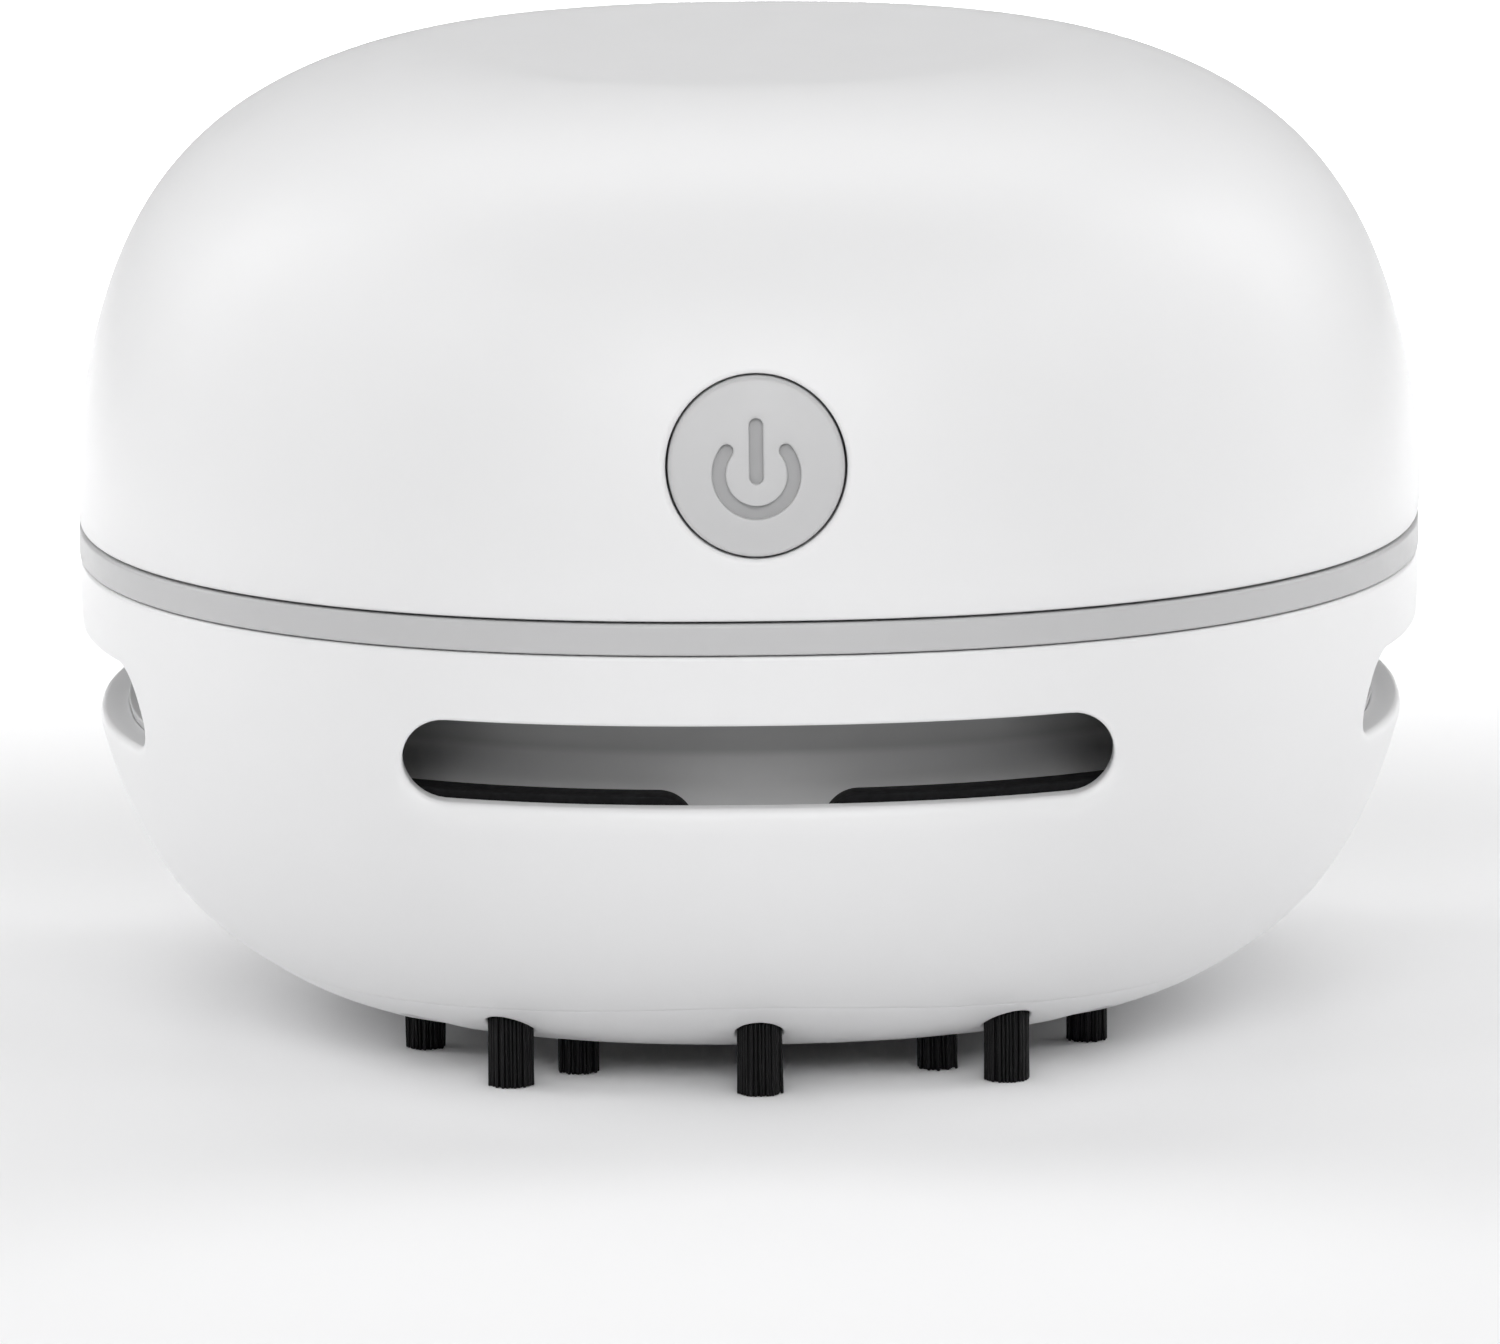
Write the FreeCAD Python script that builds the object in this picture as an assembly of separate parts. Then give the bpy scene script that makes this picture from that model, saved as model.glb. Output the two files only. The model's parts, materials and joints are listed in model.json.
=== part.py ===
import FreeCAD, Part
import math
import os
from FreeCAD import Vector as V

# Desktop mini vacuum cleaner. Millimetres, +Z up, front (power button) towards -Y.
# Origin: centre of the outline, on the plane of the bristle tips that the object stands on.
# Shapes are drawn 1.6 mm higher, with the base of the bowl at 2.2, and save() lowers them to that plane.

os.makedirs("parts", exist_ok=True)

# ---------------------------------------------------------------- driving dimensions
PLAN_N = 2.25            # superellipse exponent of the rounded-square plan
PLAN_PTS = 48            # points that carry the plan curve
BRISTLE_H = 2.2          # height of the bowl's lowest point as drawn
DROP = 1.6               # height of the bristle tips as drawn
WALL = 2.0               # wall of both white shells

# half width and height poles of the two outer shells (height above the base of the bowl)
DOME = [(42.320, 31.208), (42.990, 33.424), (41.438, 47.814), (32.298, 58.301), (21.879, 60.871), (18.113, 60.871)]
BOWL = [(42.330, 29.018), (42.669, 22.106), (38.784, 9.515), (32.254, 4.287), (25.559, 0.455), (9.561, 0.0)]

SLOT_Z0, SLOT_Z1 = 21.56, 26.65    # lower and upper edge of the four vents
SLOT_HALF = 21.8                   # half length of the front and rear vents
SLOT_HALF_SIDE = 19.7              # half length of the side vents

RING_Z0, RING_Z1 = 31.32, 33.25    # grey trim ring
RING_R = 42.42

BTN_Z = 42.8                       # power button's axis height
BTN_HOLE_R = 5.60
BTN_R = 5.40
BTN_TRAVEL = 1.5
SYM_BAR_W, SYM_BAR_H = 0.90, 4.00
SYM_R_OUT, SYM_R_IN = 2.74, 1.85
SYM_GAP_DEG = 52.0
SYM_DROP = 0.43                    # arc centre below the button's axis
SYM_DEPTH = 0.40
INLAY_T = 0.15

PLATE_R = 33.3                     # round base plate that carries the bristles
PLATE_HOLE_R = 33.5
LEDGE_Z0, LEDGE_Z1, LEDGE_R = 8.6, 10.4, 25.0
INLET_R, INLET_MOUTH_R = 8.0, 11.0
NOZZLE_R = 13.2                    # round insert around the inlet
RECESS_R, RECESS_Z = 21.0, 3.2     # shallow recess under the base plate
TUFT_R_OUT, TUFT_R_IN = 1.45, 1.36
TUFT_TOP = 7.6
OUTER_TUFTS = [(0.0, -30.0), (15.4, -26.6), (-15.4, -26.6)]
INNER_TUFTS = [(11.2, -22.7), (-11.2, -22.7), (20.8, -14.5), (-20.8, -14.5)]
BASE_SCREW_R = 28.0                # pitch radius of the base screws

CUP_TOP = 27.0                     # rim of the dust cup
CUP_R = 35.8
FILTER_Z0, FILTER_Z1 = 18.2, 21.8
STRIP_Z0, STRIP_Z1 = 19.4, 22.1
STRIP_END = 3.9
STRIP_BACK = 23.6                  # where a black strip ends, past its corner

HOUSING_Z0, HOUSING_Z1 = 24.6, 31.3
FLOOR_T = 1.5
CHAMBER_R = 27.5
FAN_INLET_R = 11.5
FAN_SCREW_R = 30.2
NEST_R = 33.3                      # housing floor that drops inside the cup's rim
PLATE_Z0, PLATE_Z1 = 31.3, 33.2    # chassis plate
CHASSIS_R = 39.9

SHAFT_R = 1.0
RUN_CLEAR = 0.03
IMP_R = 24.5
MOTOR_Z0 = PLATE_Z1
CAN_L, CAP_L = 20.5, 4.6
CAN_R, CAN_FLAT = 10.05, 7.55
CELL_X, CELL_Z, CELL_R = 18.9, 43.0, 7.1
CELL_L, NUB_L, NUB_R = 49.0, 1.2, 2.7


# ---------------------------------------------------------------- helpers
def save(shape, node):
    shape = shape.copy()
    shape.translate(V(0, 0, -DROP))
    shape.exportStep("parts/" + node + ".step")
    print("%-18s solids %d valid %s vol %.1f" % (node, len(shape.Solids), shape.isValid(), shape.Volume))


def cyl(r, z0, z1, x=0.0, y=0.0):
    return Part.makeCylinder(r, z1 - z0, V(x, y, z0))


def tube(ro, ri, z0, z1, x=0.0, y=0.0):
    return cyl(ro, z0, z1, x, y).cut(cyl(ri, z0 - 1, z1 + 1, x, y))


def cyly(r, y0, y1, x=0.0, z=0.0):
    return Part.makeCylinder(r, y1 - y0, V(x, y0, z), V(0, 1, 0))


def box(x0, x1, y0, y1, z0, z1):
    return Part.makeBox(x1 - x0, y1 - y0, z1 - z0, V(x0, y0, z0))


def fuse(shapes):
    s = shapes[0]
    if len(shapes) > 1:
        s = s.multiFuse(shapes[1:])
    return s.removeSplitter()


def group(shapes):
    return Part.makeCompound(shapes)


def turned(shape, deg, centre=V(0, 0, 0)):
    c = shape.copy()
    c.rotate(centre, V(0, 0, 1), deg)
    return c


def mirror_x(shape):
    return shape.mirror(V(0, 0, 0), V(1, 0, 0))


def plan_curve():
    pts = []
    for k in range(PLAN_PTS):
        a = math.pi / 4 + 2 * math.pi * k / PLAN_PTS
        c, s = math.cos(a), math.sin(a)
        r = (abs(c) ** PLAN_N + abs(s) ** PLAN_N) ** (-1.0 / PLAN_N)
        pts.append(V(r * c, r * s, 0))
    cur = Part.BSplineCurve()
    cur.interpolate(Points=pts, PeriodicFlag=True)
    return cur


PLAN = plan_curve()


def scaled_plan(r, z):
    c = PLAN.copy()
    for i, p in enumerate(PLAN.getPoles()):
        c.setPole(i + 1, V(p.x * r, p.y * r, z))
    return Part.Wire([c.toShape()])


def plan_prism(r, z0, z1):
    return Part.Face(scaled_plan(r, z0)).extrude(V(0, 0, z1 - z0))


def plan_tube(ro, ri, z0, z1):
    return plan_prism(ro, z0, z1).cut(plan_prism(ri, z0 - 1, z1 + 1))


def lofted(profile):
    """Solid between the planes of a profile's ends, with the plan as its outline."""
    poles = [[V(p.x * r, p.y * r, z) for r, z in profile] for p in PLAN.getPoles()]
    s = Part.BSplineSurface()
    n = len(profile)
    inner = n - 4
    vk = [i / float(inner + 1) for i in range(inner + 2)]
    vm = [4] + [1] * inner + [4]
    s.buildFromPolesMultsKnots(poles, PLAN.getMultiplicities(), vm, PLAN.getKnots(), vk, True, False, PLAN.Degree, 3)
    face = s.toShape()
    caps = []
    for r, z in (profile[0], profile[-1]):
        best = None
        for e in face.Edges:
            b = e.BoundBox
            if b.ZLength < 1e-5 and abs(b.ZMin - z) < 1e-5:
                best = e
        caps.append(Part.Face(Part.Wire([best])))
    shell = Part.Shell([face] + caps)
    shell.sewShape()
    solid = Part.Solid(shell)
    if solid.Volume < 0:
        solid.reverse()
    return solid


def offset_profile(profile, t):
    """Profile moved inwards by t, normal to its control polygon."""
    out = []
    n = len(profile)
    for i, (r, z) in enumerate(profile):
        a = profile[max(i - 1, 0)]
        b = profile[min(i + 1, n - 1)]
        dr, dz = b[0] - a[0], b[1] - a[1]
        if i == 0:
            dr = 0.0
        if i >= n - 2:
            dz = 0.0
        length = math.hypot(dr, dz)
        # the profile climbs on the dome and falls on the bowl
        nr, nz = (-dz / length, dr / length) if (dz > 0 or (dz == 0 and profile[-1][1] > profile[0][1])) else (dz / length, -dr / length)
        out.append((r + t * nr, z + t * nz))
    return out


def lifted(profile, dz):
    return [(r, z + dz) for r, z in profile]


def stadium_y(x_half, z0, z1, y0, y1):
    """Round-ended bar along X, extruded along Y."""
    r = (z1 - z0) / 2.0
    zc = (z0 + z1) / 2.0
    a = V(-x_half + r, y0, z1)
    b = V(x_half - r, y0, z1)
    c = V(x_half - r, y0, z0)
    d = V(-x_half + r, y0, z0)
    e1 = Part.LineSegment(a, b).toShape()
    e2 = Part.Arc(b, V(x_half, y0, zc), c).toShape()
    e3 = Part.LineSegment(c, d).toShape()
    e4 = Part.Arc(d, V(-x_half, y0, zc), a).toShape()
    return Part.Face(Part.Wire([e1, e2, e3, e4])).extrude(V(0, y1 - y0, 0))


def revolve(points):
    """Solid of revolution about Z from (r, z) points."""
    pts = [V(r, 0, z) for r, z in points]
    pts.append(pts[0])
    return Part.Face(Part.makePolygon(pts)).revolve(V(0, 0, 0), V(0, 0, 1), 360)


def screw(x, y, z_head, z_tip, head_r=1.9, head_h=1.2, up=True):
    """Pan head screw; the head lies on the z_head side, the shank runs to z_tip."""
    if up:
        head = cyl(head_r, z_head, z_head + head_h, x, y)
        shank = cyl(1.0, z_head + head_h, z_tip, x, y)
        cross = box(-0.25, 0.25, -1.1, 1.1, z_head - 0.1, z_head + 0.6).fuse(box(-1.1, 1.1, -0.25, 0.25, z_head - 0.1, z_head + 0.6))
        edge = z_head
    else:
        head = cyl(head_r, z_head - head_h, z_head, x, y)
        shank = cyl(1.0, z_tip, z_head - head_h, x, y)
        cross = box(-0.25, 0.25, -1.1, 1.1, z_head - 0.6, z_head + 0.1).fuse(box(-1.1, 1.1, -0.25, 0.25, z_head - 0.6, z_head + 0.1))
        edge = z_head
    rim = [e for e in head.Edges if abs(e.BoundBox.ZMin - edge) < 1e-6 and abs(e.BoundBox.ZMax - edge) < 1e-6]
    head = head.makeFillet(0.45, rim)
    cross.translate(V(x, y, 0))
    return head.fuse(shank).cut(cross)


def routed(points, r, bend):
    """Round wire along straight runs joined by tangent arcs."""
    pts = [V(*p) for p in points]
    edges = []
    last = pts[0]
    for i in range(1, len(pts) - 1):
        p = pts[i]
        a = pts[i - 1].sub(p)
        b = pts[i + 1].sub(p)
        la, lb = a.Length, b.Length
        a.normalize()
        b.normalize()
        turn = math.pi - a.getAngle(b)
        cut = min(bend * math.tan(turn / 2), 0.45 * la, 0.45 * lb)
        rad = cut / math.tan(turn / 2)
        s = p.add(V(a.x * cut, a.y * cut, a.z * cut))
        e = p.add(V(b.x * cut, b.y * cut, b.z * cut))
        bis = a.add(b)
        bis.normalize()
        half = a.getAngle(b) / 2
        centre_d = rad / math.sin(half)
        m = p.add(V(bis.x * (centre_d - rad), bis.y * (centre_d - rad), bis.z * (centre_d - rad)))
        edges.append(Part.LineSegment(last, s).toShape())
        edges.append(Part.Arc(s, m, e).toShape())
        last = e
    edges.append(Part.LineSegment(last, pts[-1]).toShape())
    path = Part.Wire(edges)
    d = pts[1].sub(pts[0])
    section = Part.Wire([Part.Circle(pts[0], d, r).toShape()])
    solid = path.makePipeShell([section], True, False)
    print("   wire length %.1f volume check %.3f" % (path.Length, solid.Volume / (math.pi * r * r * path.Length)))
    return solid


def motor_outline(extra, z0, z1):
    return cyl(CAN_R + extra, z0, z1).common(box(-CAN_FLAT - extra, CAN_FLAT + extra, -30, 30, z0, z1))


# ---------------------------------------------------------------- outer shells
dome_outer = lofted(lifted(DOME, BRISTLE_H))
dome_profile_in = offset_profile(lifted(DOME, BRISTLE_H), WALL)
dome_profile_in[0] = (dome_profile_in[0][0], dome_profile_in[0][1] - 1.0)
dome_inner = lofted(dome_profile_in)
bowl_outer = lofted(lifted(BOWL, BRISTLE_H))
bowl_profile_in = offset_profile(lifted(BOWL, BRISTLE_H), WALL)
bowl_profile_in[0] = (bowl_profile_in[0][0], bowl_profile_in[0][1] + 1.0)
bowl_inner = lofted(bowl_profile_in)
print("dome in", [(round(a, 2), round(b, 2)) for a, b in dome_profile_in])
print("bowl in", [(round(a, 2), round(b, 2)) for a, b in bowl_profile_in])

# top cover: dome, button hole, and the guide that the button slides in
top_shell = dome_outer.cut(dome_inner)
skin = lofted(offset_profile(lifted(DOME, BRISTLE_H), 0.9))
guide = cyly(8.4, -45, -35.4, z=BTN_Z).cut(cyly(6.9, -38.1, -30, z=BTN_Z)).common(skin)
top_shell = top_shell.fuse(guide).cut(cyly(BTN_HOLE_R, -46, -30, z=BTN_Z)).cut(cyly(6.9, -38.1, -30, z=BTN_Z))
save(top_shell, "top_shell")

# lower shell: bowl with four vents and a round opening below; a welded ledge ring carries the dust cup
slot_y = stadium_y(SLOT_HALF, SLOT_Z0, SLOT_Z1, -50, 50)
slot_x = turned(stadium_y(SLOT_HALF_SIDE, SLOT_Z0, SLOT_Z1, -50, 50), 90)
cavity = bowl_inner.common(box(-50, 50, -50, 50, LEDGE_Z1, 60))
lower_shell = bowl_outer.cut(cavity)
lower_shell = lower_shell.cut(cyl(PLATE_HOLE_R, 0, 20))
lower_shell = lower_shell.cut(slot_y).cut(slot_x)
save(lower_shell, "lower_shell")
corner_screws = [(BASE_SCREW_R * math.cos(math.radians(a)), BASE_SCREW_R * math.sin(math.radians(a))) for a in (45, 135, 225, 315)]
ledge = tube(PLATE_HOLE_R, LEDGE_R, LEDGE_Z0, LEDGE_Z1)
for x, y in corner_screws:
    ledge = ledge.cut(cyl(1.2, 0, 20, x, y))
save(ledge, "shell_ledge")

# ---------------------------------------------------------------- base plate and bristles
full_plate = bowl_outer.common(cyl(PLATE_R, 0, LEDGE_Z0))
plate_body = full_plate.cut(cyl(NOZZLE_R, 0, 20))
hollow = lofted(offset_profile(lifted(BOWL, BRISTLE_H), 1.9)).common(tube(31.6, NOZZLE_R + 1.4, 0, 20))
hollow = hollow.common(box(-40, 40, -40, 40, RECESS_Z + 1.9, 20))
recess = revolve([(0, 0), (RECESS_R + 3.2, 0), (RECESS_R, RECESS_Z), (0, RECESS_Z)])
base_plate = plate_body.cut(hollow)
outer_xy = OUTER_TUFTS + [(x, -y) for x, y in OUTER_TUFTS]
inner_xy = INNER_TUFTS + [(x, -y) for x, y in INNER_TUFTS]
posts = [cyl(2.3, 0, LEDGE_Z0, x, y).common(plate_body) for x, y in outer_xy + inner_xy]
posts += [cyl(2.9, 0, LEDGE_Z0, x, y).common(plate_body) for x, y in corner_screws]
base_plate = base_plate.multiFuse(posts)
for x, y in outer_xy:
    base_plate = base_plate.cut(cyl(TUFT_R_OUT, 0, TUFT_TOP, x, y))
for x, y in inner_xy:
    base_plate = base_plate.cut(cyl(TUFT_R_IN, 0, TUFT_TOP, x, y))
for x, y in corner_screws:
    base_plate = base_plate.cut(cyl(1.2, 0, 20, x, y)).cut(cyl(2.3, 0, 6.6, x, y))
base_plate = base_plate.cut(recess)
mouth = revolve([(0, 0), (INLET_MOUTH_R, 0), (INLET_MOUTH_R, RECESS_Z), (INLET_MOUTH_R - 1.6, 4.2), (INLET_R + 0.4, 5.7), (INLET_R, 7.2), (INLET_R, 12), (0, 12)])
save(base_plate, "base_plate")
save(full_plate.common(cyl(NOZZLE_R, 0, 20)).cut(mouth).cut(recess), "inlet_nozzle")

save(group([cyl(TUFT_R_OUT - 0.02, DROP, TUFT_TOP, x, y) for x, y in outer_xy]), "outer_bristles")
save(group([cyl(TUFT_R_IN - 0.02, DROP, TUFT_TOP, x, y) for x, y in inner_xy]), "inner_bristles")
save(group([screw(x, y, 5.4, 15.8) for x, y in corner_screws]), "base_screws")

# ---------------------------------------------------------------- dust cup and filter
FLOOR_R, FLOOR_Z1 = 30.4, 11.9
save(revolve([(FLOOR_R, LEDGE_Z1), (31.6, LEDGE_Z1), (33.2, 12.0), (CUP_R, 24.2), (CUP_R, CUP_TOP), (33.6, CUP_TOP), (33.6, FILTER_Z0), (32.0, FILTER_Z0), (31.4, 12.8), (FLOOR_R, FLOOR_Z1)]), "dust_cup")
cup_floor = tube(FLOOR_R, 9.5, LEDGE_Z1, FLOOR_Z1)
for x, y in corner_screws:
    cup_floor = cup_floor.cut(cyl(1.02, 0, 16.0, x, y))
save(cup_floor, "cup_floor")
save(group([cyl(2.7, FLOOR_Z1, 17.0, x, y).cut(cyl(1.02, 0, 16.0, x, y)) for x, y in corner_screws]), "cup_posts")
save(revolve([(INLET_R, LEDGE_Z0), (9.5, LEDGE_Z0), (9.5, FLOOR_Z1), (9.9, FLOOR_Z1), (9.2, 15.6), (INLET_R, 15.6)]), "inlet_tube")
save(tube(12.4, 9.6, LEDGE_Z0, LEDGE_Z1), "inlet_gasket")

frame = tube(33.4, 28.4, FILTER_Z0, FILTER_Z1)
spokes = [frame, tube(28.6, 26.6, FILTER_Z0, 18.9), cyl(4.0, 20.9, FILTER_Z1)]
for k in range(3):
    spokes.append(turned(box(-28.6, 28.6, -0.7, 0.7, 20.9, FILTER_Z1), 60 * k))
spokes.append(box(-4, 4, 28.8, 31.0, FILTER_Z1 - 0.1, 23.6))
save(fuse(spokes), "filter_frame")
save(cyl(28.3, 18.9, 20.9), "filter_pad")

# black strips that close the gap below the front and rear vents and run round the corners,
# and grey fillers that close it below the side vents
strip_out = lofted(offset_profile(lifted(BOWL, BRISTLE_H), WALL + 0.05))
strip_ring = strip_out.cut(plan_prism(37.2, 0, 60))
band = strip_ring.common(box(STRIP_END, 60, -60, -STRIP_BACK, STRIP_Z0, STRIP_Z1))
filler = strip_ring.common(box(20, 60, 0.1 - STRIP_BACK, STRIP_BACK - 0.1, STRIP_Z0, STRIP_Z1))
end_r = 2.2
bit = box(STRIP_END - 1, STRIP_END + end_r, -60, -25, STRIP_Z1 - end_r, STRIP_Z1 + 1).cut(cyly(end_r, -61, -20, x=STRIP_END + end_r, z=STRIP_Z1 - end_r))
band = band.cut(bit)
save(group([band, mirror_x(band), turned(band, 180), turned(mirror_x(band), 180)]), "vent_strips")
save(group([filler, turned(filler, 180)]), "side_fillers")

# ---------------------------------------------------------------- chassis, trim ring, fan housing
side_screws = [(FAN_SCREW_R, 0.0), (-FAN_SCREW_R, 0.0), (0.0, FAN_SCREW_R), (0.0, -FAN_SCREW_R)]
chassis = [plan_prism(CHASSIS_R, PLATE_Z0, PLATE_Z1), plan_tube(39.5, 38.1, 27.6, PLATE_Z0 + 0.5)]
lip = plan_tube(39.5, 38.3, PLATE_Z1 - 0.5, 36.8).cut(box(-9.8, 9.8, -50, -30, PLATE_Z1, 40))
chassis.append(lip)
chassis += [cyl(2.1, PLATE_Z0 + 0.5, 36.6, x, y) for x, y in side_screws]
for sx in (-1, 1):
    post = box(8.0, 9.6, -26.6, -22.6, PLATE_Z0 + 0.5, 40.0).cut(box(7, 8.6, -25.25, -23.95, PLATE_Z1, 41))
    chassis.append(post if sx > 0 else mirror_x(post))
chassis = chassis[0].multiFuse(chassis[1:])
chassis = chassis.cut(cyl(3.1, 20, 40))
for x, y in side_screws:
    chassis = chassis.cut(cyl(1.02, 20, 36.0, x, y))
for y in (-14.4, 14.4):
    chassis = chassis.cut(cyl(1.02, 31.5, 40, 0, y))
for x in (-10.9, 10.9):
    for y in (-21.0, 21.0):
        chassis = chassis.cut(cyl(1.02, 31.5, 40, x, y))
save(chassis, "chassis")
save(plan_tube(RING_R, CHASSIS_R + 0.02, RING_Z0, RING_Z1), "trim_ring")

housing = [cyl(NEST_R, HOUSING_Z0, HOUSING_Z0 + FLOOR_T), tube(NEST_R, NEST_R - 1.4, HOUSING_Z0, 28.4), tube(CUP_R, NEST_R - 1.4, 27.3, 28.4),
           tube(CHAMBER_R + 1.5, CHAMBER_R, HOUSING_Z0 + 0.5, HOUSING_Z1)]
housing += [cyl(2.7, HOUSING_Z0 + 0.5, HOUSING_Z1, x, y) for x, y in side_screws]
housing = housing[0].multiFuse(housing[1:])
for k in range(8):
    win = turned(box(CHAMBER_R - 2, CHAMBER_R + 3, -6.4, 6.4, 26.9, 30.3), 22.5 + 45 * k)
    housing = housing.cut(win)
housing = housing.cut(cyl(FAN_INLET_R, 20, 40))
for x, y in side_screws:
    housing = housing.cut(cyl(1.2, 20, 40, x, y)).cut(cyl(2.3, 20, 25.8, x, y))
housing = housing.cut(tube(35.1, 33.8, 27.0, 27.9))
save(housing, "fan_housing")
save(tube(35.05, 33.85, 27.15, 27.9), "cup_seal")
save(group([screw(x, y, 24.6, 35.8) for x, y in side_screws]), "housing_screws")

guard = [tube(FAN_INLET_R - 0.03, 10.5, HOUSING_Z0, 25.6), tube(7.6, 6.8, HOUSING_Z0, 25.4), cyl(2.6, HOUSING_Z0, 25.4)]
for k in range(3):
    guard.append(turned(box(-10.8, 10.8, -0.45, 0.45, HOUSING_Z0, 25.4), 60 * k + 30))
save(fuse(guard), "fan_guard")

# ---------------------------------------------------------------- impeller and motor
blades = []
ri, ro = 5.2, 23.6
for k in range(9):
    # backward-curved blade: arc through the hub side and the tip
    p0 = V(ri, 0, 26.7)
    p2 = V(ro * math.cos(math.radians(52)), ro * math.sin(math.radians(52)), 26.7)
    pm = V(15.4 * math.cos(math.radians(17)), 15.4 * math.sin(math.radians(17)), 26.7)
    arc = Part.Arc(p0, pm, p2).toShape().Curve
    c, rad = arc.Center, arc.Radius
    a_out, a_in = rad + 0.45, rad - 0.45

    def at(p, rr, c=c, rad=rad):
        d = p.sub(c)
        return c.add(V(d.x * rr / rad, d.y * rr / rad, 0))

    w = Part.Wire([Part.Arc(at(p0, a_out), at(pm, a_out), at(p2, a_out)).toShape(),
                   Part.LineSegment(at(p2, a_out), at(p2, a_in)).toShape(),
                   Part.Arc(at(p2, a_in), at(pm, a_in), at(p0, a_in)).toShape(),
                   Part.LineSegment(at(p0, a_in), at(p0, a_out)).toShape()])
    blades.append(turned(Part.Face(w).extrude(V(0, 0, 3.3)), 40 * k))
hub = revolve([(0, 26.7), (2.6, 26.7), (3.6, 28.0), (5.6, 29.8), (5.6, 30.6), (0, 30.6)])
impeller = cyl(IMP_R, 29.8, 30.6).multiFuse([hub] + blades).cut(cyl(SHAFT_R, 20, 40))
save(impeller, "impeller")

Z_CAN1 = MOTOR_Z0 + CAN_L
Z_CAP1 = Z_CAN1 + CAP_L
can = motor_outline(0, MOTOR_Z0, Z_CAN1).cut(motor_outline(-0.5, MOTOR_Z0 + 0.5, Z_CAN1 + 1)).cut(cyl(3.0, 20, 40))
save(can, "motor_can")
save(tube(2.98, SHAFT_R + RUN_CLEAR, 31.7, MOTOR_Z0 + 1.6), "motor_bush")
cap = motor_outline(0, Z_CAN1, Z_CAP1).fuse(motor_outline(-0.52, Z_CAN1 - 0.9, Z_CAN1))
cap = cap.cut(motor_outline(-1.6, Z_CAN1 - 2, Z_CAN1 + 1.6)).fuse(cyl(3.0, Z_CAN1 - 0.2, Z_CAP1)).cut(cyl(SHAFT_R + RUN_CLEAR, Z_CAN1 - 2, Z_CAP1 + 1))
for y in (-7.4, 7.4):
    cap = cap.cut(box(-0.25, 0.25, y - 1.35, y + 1.35, Z_CAN1 + 2.4, Z_CAP1 + 1))
save(cap, "motor_end_cap")
save(group([box(-0.22, 0.22, y - 1.3, y + 1.3, Z_CAN1 + 2.4, Z_CAP1 + 2.0) for y in (-7.4, 7.4)]), "motor_terminals")
magnets = []
for s in (90, 270):
    ring = tube(CAN_R - 0.52, 7.0, MOTOR_Z0 + 2.5, Z_CAN1 - 3.0)
    wedge = Part.Face(Part.makePolygon([V(0, 0, 0), V(14, -11, 0), V(14, 11, 0), V(0, 0, 0)])).extrude(V(0, 0, 70))
    m = ring.common(turned(wedge, s)).common(box(-CAN_FLAT + 0.55, CAN_FLAT - 0.55, -30, 30, 0, 70))
    magnets.append(m)
save(group(magnets), "motor_magnets")
save(cyl(SHAFT_R, 26.3, Z_CAP1 + 0.6), "motor_shaft")
core = cyl(6.2, MOTOR_Z0 + 5.0, Z_CAN1 - 6.0)
for k in range(3):
    slot = fuse([box(2.4, 7, -0.6, 0.6, 30, 60), cyl(1.9, 30, 60, 3.9, 0)])
    core = core.cut(turned(slot, 60 + 120 * k))
core = core.cut(cyl(SHAFT_R, 20, 70))
save(core, "armature_core")
coils = []
for k in range(3):
    a = math.radians(60 + 120 * k)
    coils.append(cyl(1.75, MOTOR_Z0 + 3.2, Z_CAN1 - 4.4, 3.9 * math.cos(a), 3.9 * math.sin(a)))
save(group(coils), "armature_coils")
save(tube(2.4, SHAFT_R, Z_CAN1 - 4.2, Z_CAN1 - 0.6), "commutator")

holder = motor_outline(1.5, PLATE_Z1, 45.5).cut(motor_outline(0.02, PLATE_Z1 - 1, 46))
for s in (-1, 1):
    ear = box(-3.2, 3.2, 10.4, 17.4, PLATE_Z1, 35.2).cut(motor_outline(0.02, PLATE_Z1 - 1, 46))
    web = box(-0.7, 0.7, 10.9, 12.0, 35.0, 44.0)
    ear = ear.fuse(web)
    holder = holder.fuse(ear if s > 0 else turned(ear, 180))
for y in (-14.4, 14.4):
    holder = holder.cut(cyl(1.2, 20, 50, 0, y))
save(holder, "motor_holder")
save(group([screw(0, y, 36.4, 31.6, up=False) for y in (-14.4, 14.4)]), "holder_screws")

# ---------------------------------------------------------------- battery tray, cells, contacts
trough = box(10.0, 28.0, -27.6, 27.6, PLATE_Z1, 42.0).cut(box(11.5, 26.3, -26.1, 26.1, 41.0, 60))
trough = trough.cut(cyly(CELL_R + 0.25, -26.1, 26.1, x=CELL_X, z=CELL_Z))
walls = [box(10.0, 28.0, -27.6, -26.1, PLATE_Z1, 47.0), box(10.0, 28.0, 26.1, 27.6, PLATE_Z1, 47.0)]
half = trough.multiFuse(walls)
tray = half.multiFuse([mirror_x(half), box(-10.5, 10.5, 26.1, 27.6, PLATE_Z1, 47.0), box(-10.5, 10.5, -27.6, -26.9, PLATE_Z1, 35.0)])
tray = tray.cut(box(-24.0, 24.0, 25.7, 26.1, 38.4, 50.0))
for x in (-10.9, 10.9):
    for y in (-21.0, 21.0):
        tray = tray.cut(cyl(1.2, 20, 40, x, y)).cut(cyl(2.2, 34.9, 60, x, y))
save(tray, "battery_tray")
save(group([screw(x, y, 36.1, 31.6, up=False) for x in (-10.9, 10.9) for y in (-21.0, 21.0)]), "tray_screws")


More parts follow.
